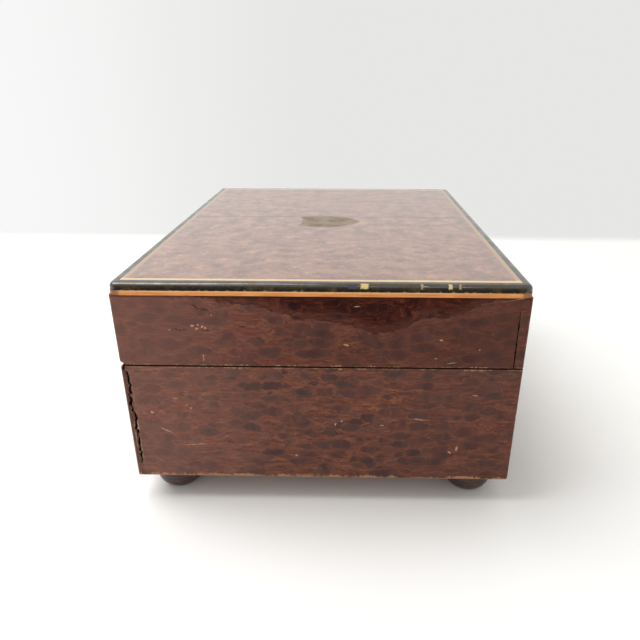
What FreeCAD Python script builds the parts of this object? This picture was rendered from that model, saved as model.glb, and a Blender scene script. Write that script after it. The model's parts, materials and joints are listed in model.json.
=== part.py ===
import FreeCAD, Part
import math
import os

# Cylinder music box: a veneered case on bun feet, a hinged lid and a key-wound movement.
# Millimetres. X runs along the case, the front faces -Y, Z is up and the feet stand on Z = 0.

V = FreeCAD.Vector

# Case
CASE_LENGTH = 148.0
CASE_WIDTH = 118.0
BASE_HEIGHT = 39.3
LID_HEIGHT = 25.3
SEAM_GAP = 0.6
BOARD = 6.0
CORNER_LAP = 2.8
CORNER_ROUND = 0.9
FLOOR_BOARD = 5.0
RIM_CHAMFER = 0.5

# Bun feet
FOOT_HEIGHT = 9.0
FOOT_RADIUS = 7.8
FOOT_NECK_RADIUS = 6.0
FOOT_BASE_RADIUS = 4.6
FOOT_INSET = 10.6
DOWEL_RADIUS = 2.5
DOWEL_LENGTH = 4.0

# Lid trim
MOULDING_WIDTH = 2.8
MOULDING_HEIGHT = 2.2
MOULDING_ROUND = 1.5
MOULDING_CORNER_ROUND = 2.6
SIDE_STRING_HEIGHT = 1.35
TOP_STRING_WIDTH = 1.4
TOP_STRING_DEPTH = 1.0
LID_BEVEL_WIDTH = 2.0
LID_BEVEL_HEIGHT = 1.2
SHIELD_WIDTH = 18.2
SHIELD_LENGTH = 24.6
SHIELD_THICKNESS = 0.6
CARD_LENGTH = 92.0
CARD_WIDTH = 74.0
CARD_THICKNESS = 0.4
TACK_INSET = 4.0
TACK_RADIUS = 1.3
TACK_HEIGHT = 0.5

# Butt hinges
HINGE_INSET = 1.0
HINGE_LENGTH = 22.0
HINGE_END_DISTANCE = 34.0
KNUCKLE_RADIUS = 1.0
KNUCKLE_GAP = 0.2
HINGE_PIN_RADIUS = 0.5
LEAF_WIDTH = 4.6
LEAF_THICKNESS = 0.8
HINGE_SCREW_SPACING = 14.0

# Fits
GLUE_FIT = 0.02
RUNNING_FIT = 0.05
SCREW_FIT = 0.06
SWING_GAP = 0.3
SAME_POINT = 1e-6

# Screws: head radius, head height, shank radius
BED_SCREW = (1.9, 1.2, 1.0)
COMB_SCREW = (2.3, 1.3, 1.1)
CASE_SCREW = (3.2, 1.6, 1.5)
HINGE_SCREW = (1.0, 0.5, 0.5)
SCREW_SLOT = 0.45
SCREW_SLOT_DEPTH = 0.4
HINGE_SCREW_LENGTH = 6.0
SCREW_END_COVER = 0.6
SCREW_ROOM = 0.6

# Bedplate
PILLAR_HEIGHT = 4.0
PILLAR_RADIUS = 4.0
PILLAR_SPREAD_X = 50.0
PILLAR_FRONT_Y = -34.0
PILLAR_REAR_Y = 40.0
BED_THICKNESS = 3.5
BED_END_GAP = 2.0
BED_REAR_GAP = 2.0
BED_FRONT_GAP = 9.0
BED_CORNER_ROUND = 3.0
FLANGE = 3.0
FLANGE_HALF_WIDTH = 2.1

# Gear cutting, in modules where it scales with the tooth
MODULE = 0.5
FINE_MODULE = 0.4
PRESSURE_ANGLE = math.radians(20.0)
ADDENDUM = 0.7
DEDENDUM = 1.0
BACKLASH = 0.12
CROWN_BACKLASH = 0.3
WHEEL_RELIEF = 0.6

# Spring barrel and winding work
BARREL_X = -49.0
BARREL_LIFT = 0.8
CROWN_TEETH = 56
CROWN_FACE = 2.4
DRUM_HEIGHT = 10.8
DRUM_WALL = 1.8
DRUM_TOP = 2.0
COVER_THICKNESS = 1.5
SPRING_STRIP = 0.3
SPRING_PITCH = 0.9
SPRING_SIDE_GAP = 0.4
SPRING_INNER_RADIUS = 3.2
WIND_ARBOR_RADIUS = 2.0
WIND_PIVOT_RADIUS = 1.5
FLOOR_KEY_HOLE_RADIUS = 5.0
BARREL_BRIDGE_GAP = 1.2
BARREL_BRIDGE_WIDTH = 11.0
BARREL_BRIDGE_LEG = 3.0
BRIDGE_PLATE = 2.5
RATCHET_TEETH = 20
RATCHET_RADIUS = 7.2
RATCHET_DEPTH = 1.0
RATCHET_THICKNESS = 1.4
RATCHET_LIFT = 0.2
CLICK_DISTANCE = 13.5
CLICK_NOSE_ANGLE = math.radians(55.0)
CLICK_NOSE_GAP = 0.35
CLICK_HUB_RADIUS = 2.0
CLICK_POST_RADIUS = 1.0
CLICK_TAIL = 3.2
CLICK_SPRING_GAP = 0.6
CLICK_SPRING_LEAF = 0.3
CLICK_SPRING_LENGTH = 8.0
KEY_GROUND_GAP = 0.8
KEY_FLOOR_GAP = 0.8
KEY_BOSS_RADIUS = 3.6
KEY_SOCKET_DEPTH = 5.6
KEY_WING_REACH = 8.0
KEY_WING_RADIUS = 3.1
KEY_WING_THICKNESS = 2.0
KEY_WING_HOLE = 1.3

# Cylinder
CYLINDER_Y = 8.0
CYLINDER_START_X = -28.0
CYLINDER_LENGTH = 64.0
CYLINDER_RADIUS = 11.5
CYLINDER_WALL = 1.0
CYLINDER_CAP = 2.0
PIN_RADIUS = 0.2
PIN_HEIGHT = 1.0
PIN_ROOT = 0.6
PINS_PER_TRACK = 4
CYLINDER_ARBOR_RADIUS = 1.75
CYLINDER_PIVOT_RADIUS = 1.2
DRIVE_PINION_TEETH = 20
DRIVE_PINION_FACE = 2.6
BRIDGE_HALF_WIDTH = 6.0
BRIDGE_FOOT_REACH = 13.0
BRIDGE_SCREW_REACH = 10.0
BRIDGE_CYLINDER_GAP = 1.9
GREAT_WHEEL_TEETH = 64
GREAT_WHEEL_FACE = 2.0
GREAT_WHEEL_GAP = 2.6
GREAT_WHEEL_HOLE_RADIUS = 3.4
GREAT_WHEEL_HOLE_REACH = 9.4
GREAT_WHEEL_BRIDGE_GAP = 2.0
SNAIL_RADIUS = 4.4
SNAIL_REACH = 7.4
SNAIL_STEPS = 4
SNAIL_BASE = 0.7
SNAIL_RISE = 0.3
FOLLOWER_RADIUS = 0.6
FOLLOWER_LENGTH = 0.4

# Comb
COMB_TEETH = 48
TOOTH_PITCH = 1.25
TOOTH_SLOT = 0.4
TOOTH_THICKNESS = 1.0
BASS_TOOTH = 22.0
TREBLE_TOOTH = 13.0
TIP_GAP = 0.25
COMB_START_X = -26.0
COMB_END_MARGIN = 1.6
COMB_LENGTH = 35.0
COMB_THICKNESS = 2.4
COMB_BASE_SETBACK = 1.3
COMB_SCREWS = 5
COMB_SCREW_LENGTH = 9.0
LEAD_TEETH = 14
LEAD_LENGTH = 3.5
LEAD_DEPTH = 2.2
LEAD_SETBACK = 1.5

# Governor
GOVERNOR_PINION_TEETH = 16
FIRST_DROP = 6.0
FIRST_WHEEL_TEETH = 50
FIRST_WHEEL_FACE = 1.4
FIRST_WHEEL_X = 55.5
SECOND_PINION_TEETH = 16
SECOND_DROP = 2.3
PINION_OVERLAP = 0.5
WORM_WHEEL_TEETH = 20
WORM_WHEEL_FACE = 2.0
WORM_X = 47.5
WORM_STARTS = 2
WORM_RADIUS = 2.0
WORM_LENGTH = 10.0
GOVERNOR_SHAFT_RADIUS = 1.1
GOVERNOR_PIVOT_RADIUS = 0.7
GOVERNOR_PLATE = 2.5
GOVERNOR_PLATE_START_X = 34.1
GOVERNOR_PLATE_END_X = 59.0
GOVERNOR_PLATE_MARGIN = 4.2
GOVERNOR_FOOT_LENGTH = 4.2
SCREW_SHAFT_RADIUS = 0.8
SCREW_PIVOT_RADIUS = 0.5
FLY_CLEARANCE = 3.0
FLY_HEIGHT = 8.0
FLY_RADIUS = 6.5
FLY_SHEET = 0.4
FLY_HUB_RADIUS = 1.4
COCK_ARM = 2.5
COCK_HALF_WIDTH = 3.0
COCK_POST = 3.0
COCK_POST_GAP = 1.6
COCK_TOP_GAP = 1.8
COCK_NOSE = 3.2
STONE_RADIUS = 1.2
STONE_HEIGHT = 0.6
STONE_PLATE = 0.9
STONE_PLATE_LENGTH = 8.0

# Control levers
LEVER_THICKNESS = 1.2
LEVER_WIDTH = 3.2
LEVER_HUB_RADIUS = 3.0
LEVER_POST_RADIUS = 1.4
LEVER_COLLAR_RADIUS = 2.6
LEVER_CAP = 1.0
STOP_POST_X = 57.5
STOP_POST_Y = -8.0
STOP_HANDLE_Y = -37.0
STOP_FLY_GAP = 0.5
STOP_RISE = 1.5
STOP_DETENT_WIDTH = 1.6
CHANGE_POST_X = 46.0
CHANGE_POST_Y = -22.0
CHANGE_HANDLE_Y = -37.0
CHANGE_TIP_GAP = 1.0
CHANGE_TIP_WIDTH = 1.0
CHANGE_RISE = 1.3
KNOB_RADIUS = 2.4
KNOB_HEIGHT = 6.0
KNOB_STEM_RADIUS = 1.0

# Heights and planes worked out from the sizes above
HALF_L = CASE_LENGTH / 2
HALF_W = CASE_WIDTH / 2
IN_X = HALF_L - BOARD
IN_Y = HALF_W - BOARD
BASE_Z = FOOT_HEIGHT
RIM_Z = BASE_Z + BASE_HEIGHT
LID_Z = RIM_Z + SEAM_GAP
TOP_Z = LID_Z + LID_HEIGHT
STRING_Z = TOP_Z - MOULDING_HEIGHT - SIDE_STRING_HEIGHT
FLOOR_Z = BASE_Z + FLOOR_BOARD
BED_Z = FLOOR_Z + PILLAR_HEIGHT
BED_TOP = BED_Z + BED_THICKNESS
FLANGE_TOP = BED_TOP + FLANGE
HINGE_Y = HALF_W - HINGE_INSET
HINGE_Z = RIM_Z + SEAM_GAP / 2
HINGE_CENTRES = (-HALF_L + HINGE_END_DISTANCE, HALF_L - HINGE_END_DISTANCE)
KNUCKLE_LENGTH = (HINGE_LENGTH - 2 * KNUCKLE_GAP) / 3

# Barrel, cylinder and comb placing
ADD = ADDENDUM * MODULE
DED = DEDENDUM * MODULE
FINE_ADD = ADDENDUM * FINE_MODULE
CROWN_R = MODULE * CROWN_TEETH / 2
DRIVE_R = MODULE * DRIVE_PINION_TEETH / 2
BARREL_R = CROWN_R + CROWN_FACE / 2
BARREL_Z = BED_TOP + BARREL_LIFT
DRUM_TOP_Z = BARREL_Z + DRUM_HEIGHT
CROWN_PITCH_Z = DRUM_TOP_Z + DED
CYLINDER_Z = CROWN_PITCH_Z + DRIVE_R
DRIVE_PINION_X = BARREL_X + CROWN_R - DRIVE_PINION_FACE / 2
CYLINDER_END_X = CYLINDER_START_X + CYLINDER_LENGTH
LEFT_BRIDGE_X = CYLINDER_START_X - BRIDGE_CYLINDER_GAP - BRIDGE_PLATE
GREAT_WHEEL_X = CYLINDER_END_X + GREAT_WHEEL_GAP
RIGHT_BRIDGE_X = GREAT_WHEEL_X + GREAT_WHEEL_FACE + GREAT_WHEEL_BRIDGE_GAP
BARREL_BRIDGE_Z = CROWN_PITCH_Z + ADD + BARREL_BRIDGE_GAP
BARREL_BRIDGE_TOP = BARREL_BRIDGE_Z + BRIDGE_PLATE
BARREL_LEG_REACH = BARREL_R + BARREL_BRIDGE_GAP
BARREL_SCREW_REACH = BARREL_LEG_REACH + BARREL_BRIDGE_LEG + BED_SCREW[0] + SCREW_ROOM
RATCHET_Z = BARREL_BRIDGE_TOP + RATCHET_LIFT
RATCHET_TOP = RATCHET_Z + RATCHET_THICKNESS
CLICK_Y = CYLINDER_Y + CLICK_DISTANCE
TIP_Y = CYLINDER_Y - CYLINDER_RADIUS - PIN_HEIGHT - TIP_GAP
COMB_TOP = CYLINDER_Z
COMB_Z = COMB_TOP - COMB_THICKNESS
COMB_FRONT_Y = TIP_Y - COMB_LENGTH
COMB_BASE_REAR_Y = TIP_Y - BASS_TOOTH - COMB_BASE_SETBACK
COMB_SCREW_Y = (COMB_FRONT_Y + COMB_BASE_REAR_Y) / 2
COMB_END_X = COMB_START_X + COMB_TEETH * TOOTH_PITCH

# Governor placing
GREAT_R = MODULE * GREAT_WHEEL_TEETH / 2
FIRST_PINION_R = MODULE * GOVERNOR_PINION_TEETH / 2
FIRST_DISTANCE = GREAT_R + FIRST_PINION_R
FIRST_Y = CYLINDER_Y + math.sqrt(FIRST_DISTANCE ** 2 - FIRST_DROP ** 2)
FIRST_Z = CYLINDER_Z - FIRST_DROP
FIRST_WHEEL_R = FINE_MODULE * FIRST_WHEEL_TEETH / 2
SECOND_PINION_R = FINE_MODULE * SECOND_PINION_TEETH / 2
SECOND_DISTANCE = FIRST_WHEEL_R + SECOND_PINION_R
SECOND_Y = FIRST_Y + math.sqrt(SECOND_DISTANCE ** 2 - SECOND_DROP ** 2)
SECOND_Z = FIRST_Z - SECOND_DROP
WORM_WHEEL_R = MODULE * WORM_WHEEL_TEETH / 2
WORM_Y = SECOND_Y - WORM_WHEEL_R - WORM_RADIUS
WORM_PITCH = math.pi * MODULE
WORM_LEAD = WORM_PITCH * WORM_STARTS
WORM_LEAD_SLOPE = WORM_LEAD / (2 * math.pi * WORM_RADIUS)
WORM_START_Z = SECOND_Z - WORM_LENGTH / 2
FLY_Z = SECOND_Z + WORM_LENGTH / 2 + FLY_CLEARANCE
FLY_TOP_Z = FLY_Z + FLY_HEIGHT
COCK_ARM_Z = FLY_TOP_Z + COCK_TOP_GAP
COCK_TOP_Z = COCK_ARM_Z + COCK_ARM
COCK_LOW_TOP = BED_TOP + COCK_ARM
COCK_POST_Y = SECOND_Y + WORM_WHEEL_R + ADD + COCK_POST_GAP
COCK_FRONT_Y = WORM_Y - COCK_NOSE - 2 * (BED_SCREW[0] + SCREW_ROOM)
COCK_SCREW_Y = COCK_FRONT_Y + BED_SCREW[0] + SCREW_ROOM
PLATE_LOW_Y = FIRST_Y - GOVERNOR_PLATE_MARGIN
PLATE_HIGH_Y = SECOND_Y + GOVERNOR_PLATE_MARGIN
PLATE_TOP_Z = FIRST_Z + GOVERNOR_PLATE_MARGIN
PLATE_SCREW_YS = (PLATE_LOW_Y + BED_SCREW[0] + SCREW_ROOM, PLATE_HIGH_Y - BED_SCREW[0] - SCREW_ROOM)
PLATE_FAR_X = GOVERNOR_PLATE_END_X + GOVERNOR_PLATE

# Lever placing
STOP_Z = FIRST_Z + FIRST_WHEEL_R + FINE_ADD + STOP_RISE
STOP_TIP_X = WORM_X + FLY_RADIUS + STOP_FLY_GAP
CHANGE_Z = COMB_TOP + CHANGE_RISE
CHANGE_TIP_X = CYLINDER_END_X + GREAT_WHEEL_GAP / 2 + FOLLOWER_LENGTH / 2
CHANGE_TIP_Y = CYLINDER_Y - SNAIL_REACH - SNAIL_RADIUS - CHANGE_TIP_GAP


# Basic solids

def box(x0, x1, y0, y1, z0, z1):
    return Part.makeBox(x1 - x0, y1 - y0, z1 - z0, V(x0, y0, z0))


def rod_x(radius, x0, x1, y, z):
    return Part.makeCylinder(radius, x1 - x0, V(x0, y, z), V(1, 0, 0))


def rod_y(radius, y0, y1, x, z):
    return Part.makeCylinder(radius, y1 - y0, V(x, y0, z), V(0, 1, 0))


def rod_z(radius, z0, z1, x, y):
    return Part.makeCylinder(radius, z1 - z0, V(x, y, z0), V(0, 0, 1))


def prism(points, along):
    return Part.Face(Part.makePolygon(points + points[:1])).extrude(along)


def arc(start, middle, end):
    return Part.Arc(start, middle, end).toShape()


def line(start, end):
    return Part.LineSegment(start, end).toShape()


def joined(solids):
    return solids[0].fuse(solids[1:]).removeSplitter()


def upright_edges(shape, corners):
    found = []
    for edge in shape.Edges:
        span = edge.BoundBox
        upright = span.XLength < SAME_POINT and span.YLength < SAME_POINT
        if upright and any(math.hypot(span.XMin - x, span.YMin - y) < SAME_POINT for x, y in corners):
            found.append(edge)
    return found


def corner_rounded(shape, corners, radius):
    return shape.makeFillet(radius, upright_edges(shape, corners))


def rectangle_corners(half_x, half_y):
    return [(sx * half_x, sy * half_y) for sx in (-1, 1) for sy in (-1, 1)]


def frame_ring(half_x, half_y, width, z0, z1):
    outer = box(-half_x, half_x, -half_y, half_y, z0, z1)
    inner = box(width - half_x, half_x - width, width - half_y, half_y - width, z0, z1)
    return outer.cut(inner)


def save(name, solids):
    shape = solids[0] if len(solids) == 1 else Part.makeCompound(solids)
    shape.exportStep("parts/%s.step" % name)


# Screws: a slotted head on a seat, with its shank running up or down from there

def screw(kind, x, y, seat_z, length, down=True):
    head_radius, head_height, shank_radius = kind
    way = 1 if down else -1
    head = Part.makeCylinder(head_radius, head_height, V(x, y, seat_z), V(0, 0, way))
    shank = Part.makeCylinder(shank_radius, length, V(x, y, seat_z), V(0, 0, -way))
    slot_far = seat_z + way * head_height
    slot_near = slot_far - way * SCREW_SLOT_DEPTH
    slot = box(x - head_radius, x + head_radius, y - SCREW_SLOT / 2, y + SCREW_SLOT / 2,
               min(slot_far, slot_near), max(slot_far, slot_near))
    return joined([head, shank]).cut(slot)


def screw_hole(kind, x, y, seat_z, length, down=True):
    way = 1 if down else -1
    return Part.makeCylinder(kind[2] + SCREW_FIT, length + SCREW_FIT, V(x, y, seat_z), V(0, 0, -way))


# Gears: straight-flanked teeth through the involute's root and tip points

def involute(angle):
    return math.tan(angle) - angle


def tooth_half_angle(radius, module, teeth):
    pitch_radius = module * teeth / 2
    base_radius = pitch_radius * math.cos(PRESSURE_ANGLE)
    pressure = math.acos(min(1.0, base_radius / radius))
    at_pitch = math.pi / (2 * teeth) - BACKLASH / (4 * pitch_radius)
    return at_pitch + involute(PRESSURE_ANGLE) - involute(pressure)


def gear(module, teeth, phase, y, z, x0, x1):
    pitch_radius = module * teeth / 2
    tip = pitch_radius + ADDENDUM * module
    root = pitch_radius - DEDENDUM * module
    base_radius = pitch_radius * math.cos(PRESSURE_ANGLE)
    half_tip = tooth_half_angle(tip, module, teeth)
    half_root = tooth_half_angle(max(root, base_radius), module, teeth)
    points = []
    for index in range(teeth):
        centre = phase + 2 * math.pi * index / teeth
        corners = ((root, -half_root), (tip, -half_tip), (tip, half_tip), (root, half_root))
        for radius, offset in corners:
            angle = centre + offset
            points.append(V(x0, y + radius * math.cos(angle), z + radius * math.sin(angle)))
    return prism(points, V(x1 - x0, 0, 0))


def meshing_phase(phase, teeth, other_teeth, direction):
    share = ((direction - phase) * teeth / (2 * math.pi)) % 1.0
    return direction + math.pi + (share + 0.5) * 2 * math.pi / other_teeth


FIRST_DIRECTION = math.atan2(FIRST_Z - CYLINDER_Z, FIRST_Y - CYLINDER_Y)
SECOND_DIRECTION = math.atan2(SECOND_Z - FIRST_Z, SECOND_Y - FIRST_Y)
DRIVE_PHASE = -math.pi / 2
GREAT_PHASE = 0.0
FIRST_PINION_PHASE = meshing_phase(GREAT_PHASE, GREAT_WHEEL_TEETH, GOVERNOR_PINION_TEETH, FIRST_DIRECTION)
FIRST_WHEEL_PHASE = 0.0
SECOND_PINION_PHASE = meshing_phase(FIRST_WHEEL_PHASE, FIRST_WHEEL_TEETH, SECOND_PINION_TEETH,
                                    SECOND_DIRECTION)


# Case

def case_board(front_sign):
    outer = front_sign * HALF_W
    lap = front_sign * (HALF_W - CORNER_LAP)
    inner = front_sign * IN_Y
    face = box(-HALF_L, HALF_L, min(outer, lap), max(outer, lap), BASE_Z, RIM_Z)
    tongue = box(-IN_X, IN_X, min(lap, inner), max(lap, inner), BASE_Z, RIM_Z)
    board = joined([face, tongue])
    return corner_rounded(board, [(-HALF_L, outer), (HALF_L, outer)], CORNER_ROUND)


def rim_chamfer_cut():
    points = [V(-HALF_L, HALF_W, RIM_Z - RIM_CHAMFER), V(-HALF_L, HALF_W, RIM_Z),
              V(-HALF_L, HALF_W - RIM_CHAMFER, RIM_Z)]
    return prism(points, V(CASE_LENGTH, 0, 0))


def case_front():
    return [case_board(-1)]


def case_back():
    cuts = [rim_chamfer_cut()]
    for centre in HINGE_CENTRES:
        cuts += hinge_mortise(centre, RIM_Z - LEAF_THICKNESS, RIM_Z)
        cuts += hinge_screw_holes(centre, RIM_Z, True)
    return [case_board(1).cut(cuts)]


def case_end(side):
    x0, x1 = sorted((side * IN_X, side * HALF_L))
    return [box(x0, x1, CORNER_LAP - HALF_W, HALF_W - CORNER_LAP, BASE_Z, RIM_Z)]


def foot_centres():
    return rectangle_corners(HALF_L - FOOT_INSET, HALF_W - FOOT_INSET)


def pillar_centres():
    return [(sx * PILLAR_SPREAD_X, y) for sx in (-1, 1) for y in (PILLAR_FRONT_Y, PILLAR_REAR_Y)]


CASE_SCREW_SEAT = BASE_Z + CASE_SCREW[1]
CASE_SCREW_LENGTH = BED_TOP - SCREW_END_COVER - CASE_SCREW_SEAT


def case_floor():
    cuts = [rod_z(FLOOR_KEY_HOLE_RADIUS, BASE_Z, FLOOR_Z, BARREL_X, CYLINDER_Y)]
    for x, y in foot_centres():
        cuts.append(rod_z(DOWEL_RADIUS + GLUE_FIT, BASE_Z, BASE_Z + DOWEL_LENGTH + GLUE_FIT, x, y))
    for x, y in pillar_centres():
        cuts.append(rod_z(CASE_SCREW[0] + SCREW_FIT, BASE_Z, CASE_SCREW_SEAT, x, y))
        cuts.append(screw_hole(CASE_SCREW, x, y, CASE_SCREW_SEAT, CASE_SCREW_LENGTH, False))
    return [box(-IN_X, IN_X, -IN_Y, IN_Y, BASE_Z, FLOOR_Z).cut(cuts)]


def bun_foot(x, y):
    middle = FOOT_HEIGHT / 2
    dowel_top = FOOT_HEIGHT + DOWEL_LENGTH
    outline = [
        line(V(x, y, 0), V(x + FOOT_BASE_RADIUS, y, 0)),
        arc(V(x + FOOT_BASE_RADIUS, y, 0), V(x + FOOT_RADIUS, y, middle),
            V(x + FOOT_NECK_RADIUS, y, FOOT_HEIGHT)),
        line(V(x + FOOT_NECK_RADIUS, y, FOOT_HEIGHT), V(x + DOWEL_RADIUS, y, FOOT_HEIGHT)),
        line(V(x + DOWEL_RADIUS, y, FOOT_HEIGHT), V(x + DOWEL_RADIUS, y, dowel_top)),
        line(V(x + DOWEL_RADIUS, y, dowel_top), V(x, y, dowel_top)),
        line(V(x, y, dowel_top), V(x, y, 0)),
    ]
    return Part.Face(Part.Wire(outline)).revolve(V(x, y, 0), V(0, 0, 1), 360)


def bun_feet():
    return [bun_foot(x, y) for x, y in foot_centres()]


# Hinges

def knuckle_span(centre, index):
    start = centre - HINGE_LENGTH / 2 + index * (KNUCKLE_LENGTH + KNUCKLE_GAP)
    return start, start + KNUCKLE_LENGTH


def hinge_mortise(centre, z0, z1):
    x0 = centre - HINGE_LENGTH / 2
    x1 = centre + HINGE_LENGTH / 2
    seat = box(x0, x1, HINGE_Y - LEAF_WIDTH, HINGE_Y, z0, z1)
    barrel = rod_x(KNUCKLE_RADIUS + SWING_GAP, x0 - SWING_GAP, x1 + SWING_GAP, HINGE_Y, HINGE_Z)
    return [seat, barrel]


def hinge_screw_points(centre):
    y = HINGE_Y - (LEAF_WIDTH + KNUCKLE_RADIUS) / 2
    return [(centre + side * HINGE_SCREW_SPACING / 2, y) for side in (-1, 1)]


def hinge_screw_holes(centre, face_z, down):
    seat = face_z - HINGE_SCREW[1] if down else face_z + HINGE_SCREW[1]
    points = hinge_screw_points(centre)
    return [screw_hole(HINGE_SCREW, x, y, seat, HINGE_SCREW_LENGTH, down) for x, y in points]


def hinge_screw_sinks(centre, face_z, down):
    seat = face_z - HINGE_SCREW[1] if down else face_z
    points = hinge_screw_points(centre)
    return [rod_z(HINGE_SCREW[0] + SCREW_FIT, seat, seat + HINGE_SCREW[1], x, y) for x, y in points]


def hinge_leaf(centre, z0, z1, own_knuckles, pin_fit, down):
    x0 = centre - HINGE_LENGTH / 2
    x1 = centre + HINGE_LENGTH / 2
    solids = [box(x0, x1, HINGE_Y - LEAF_WIDTH, HINGE_Y, z0, z1)]
    cuts = []
    for index in range(3):
        k0, k1 = knuckle_span(centre, index)
        if index in own_knuckles:
            solids.append(rod_x(KNUCKLE_RADIUS, k0, k1, HINGE_Y, HINGE_Z))
        else:
            reach = KNUCKLE_RADIUS + KNUCKLE_GAP
            cuts.append(rod_x(reach, k0 - KNUCKLE_GAP, k1 + KNUCKLE_GAP, HINGE_Y, HINGE_Z))
    cuts.append(rod_x(HINGE_PIN_RADIUS + pin_fit, x0, x1, HINGE_Y, HINGE_Z))
    face_z = z1 if down else z0
    cuts += hinge_screw_sinks(centre, face_z, down)
    cuts += hinge_screw_holes(centre, face_z, down)
    return joined(solids).cut(cuts)


def hinge_case_leaves():
    return [hinge_leaf(c, RIM_Z - LEAF_THICKNESS, RIM_Z, (0, 2), GLUE_FIT, True) for c in HINGE_CENTRES]


def hinge_lid_leaves():
    return [hinge_leaf(c, LID_Z, LID_Z + LEAF_THICKNESS, (1,), RUNNING_FIT, False) for c in HINGE_CENTRES]


def hinge_pins():
    half = HINGE_LENGTH / 2
    return [rod_x(HINGE_PIN_RADIUS, c - half, c + half, HINGE_Y, HINGE_Z) for c in HINGE_CENTRES]


def hinge_screws(face_z, down):
    seat = face_z - HINGE_SCREW[1] if down else face_z + HINGE_SCREW[1]
    points = [point for c in HINGE_CENTRES for point in hinge_screw_points(c)]
    return [screw(HINGE_SCREW, x, y, seat, HINGE_SCREW_LENGTH, down) for x, y in points]


# Lid

def lid_rail(front_sign):
    outer = front_sign * HALF_W
    lap = front_sign * (HALF_W - CORNER_LAP)
    inner = front_sign * IN_Y
    face = box(-HALF_L, HALF_L, min(outer, lap), max(outer, lap), LID_Z, STRING_Z)
    tongue = box(-IN_X, IN_X, min(lap, inner), max(lap, inner), LID_Z, STRING_Z)
    rail = joined([face, tongue])
    return corner_rounded(rail, [(-HALF_L, outer), (HALF_L, outer)], CORNER_ROUND)


def lid_bevel_cut():
    points = [V(-HALF_L, HALF_W, LID_Z), V(-HALF_L, HALF_W, LID_Z + LID_BEVEL_HEIGHT),
              V(-HALF_L, HALF_W - LID_BEVEL_WIDTH, LID_Z)]
    return prism(points, V(CASE_LENGTH, 0, 0))


def lid_front_rail():
    return [lid_rail(-1)]


def lid_back_rail():
    cuts = [lid_bevel_cut()]
    for centre in HINGE_CENTRES:
        cuts += hinge_mortise(centre, LID_Z, LID_Z + LEAF_THICKNESS)
        cuts += hinge_screw_holes(centre, LID_Z, False)
    return [lid_rail(1).cut(cuts)]


def lid_end_rail(side):
    x0, x1 = sorted((side * IN_X, side * HALF_L))
    rail = box(x0, x1, CORNER_LAP - HALF_W, HALF_W - CORNER_LAP, LID_Z, STRING_Z)
    return [rail]


def shield_outline(z):
    half = SHIELD_WIDTH / 2
    ear = V(0.81 * half, SHIELD_LENGTH * 0.505, z)
    notch = V(0.93 * half, SHIELD_LENGTH * 0.36, z)
    shoulder = V(half, SHIELD_LENGTH * 0.06, z)
    tip = V(0, -SHIELD_LENGTH * 0.495, z)
    crest = V(0, SHIELD_LENGTH * 0.455, z)
    scallop = V(0.43 * half, SHIELD_LENGTH * 0.435, z)
    neck = V(0.8 * half, SHIELD_LENGTH * 0.425, z)
    flank = V(0.985 * half, SHIELD_LENGTH * 0.21, z)
    belly = V(0.69 * half, -SHIELD_LENGTH * 0.29, z)
    right = [(crest, scallop, ear), (ear, neck, notch), (notch, flank, shoulder), (shoulder, belly, tip)]

    def mirrored(point):
        return V(-point.x, point.y, point.z)
    left = [(mirrored(c), mirrored(b), mirrored(a)) for a, b, c in reversed(right)]
    return Part.Wire([arc(*points) for points in right + left])


def shield_solid():
    return Part.Face(shield_outline(TOP_Z - SHIELD_THICKNESS)).extrude(V(0, 0, SHIELD_THICKNESS))


def top_string_ring():
    half_x = HALF_L - MOULDING_WIDTH
    half_y = HALF_W - MOULDING_WIDTH
    return frame_ring(half_x, half_y, TOP_STRING_WIDTH, TOP_Z - TOP_STRING_DEPTH, TOP_Z)


def lid_top_board():
    half_x = HALF_L - MOULDING_WIDTH
    half_y = HALF_W - MOULDING_WIDTH
    panel = box(-half_x, half_x, -half_y, half_y, STRING_Z, TOP_Z)
    return [panel.cut([top_string_ring(), shield_solid()])]


def lid_top_stringing():
    return [top_string_ring()]


def lid_side_stringing():
    ring = frame_ring(HALF_L, HALF_W, MOULDING_WIDTH, STRING_Z, STRING_Z + SIDE_STRING_HEIGHT)
    return [corner_rounded(ring, rectangle_corners(HALF_L, HALF_W), CORNER_ROUND)]


def lid_edge_moulding():
    ring = frame_ring(HALF_L, HALF_W, MOULDING_WIDTH, TOP_Z - MOULDING_HEIGHT, TOP_Z)
    ring = corner_rounded(ring, rectangle_corners(HALF_L, HALF_W), MOULDING_CORNER_ROUND)

    def on_outer_top(edge):
        middle = edge.valueAt((edge.FirstParameter + edge.LastParameter) / 2)
        half_x = HALF_L - MOULDING_WIDTH / 2
        half_y = HALF_W - MOULDING_WIDTH / 2
        outside = abs(middle.x) > half_x or abs(middle.y) > half_y
        level = edge.BoundBox.ZLength < SAME_POINT
        return level and outside and abs(middle.z - TOP_Z) < SAME_POINT
    return [ring.makeFillet(MOULDING_ROUND, [edge for edge in ring.Edges if on_outer_top(edge)])]


def lid_shield():
    return [shield_solid()]


def tune_card():
    z0 = STRING_Z - CARD_THICKNESS
    return [box(-CARD_LENGTH / 2, CARD_LENGTH / 2, -CARD_WIDTH / 2, CARD_WIDTH / 2, z0, STRING_Z)]


def tune_card_tacks():
    top = STRING_Z - CARD_THICKNESS
    points = rectangle_corners(CARD_LENGTH / 2 - TACK_INSET, CARD_WIDTH / 2 - TACK_INSET)
    dome = (TACK_RADIUS ** 2 + TACK_HEIGHT ** 2) / (2 * TACK_HEIGHT)
    below = box(-HALF_L, HALF_L, -HALF_W, HALF_W, top - TACK_HEIGHT, top)
    return [Part.makeSphere(dome, V(x, y, top - TACK_HEIGHT + dome)).common(below) for x, y in points]


# Bedplate and its fixings

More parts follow.
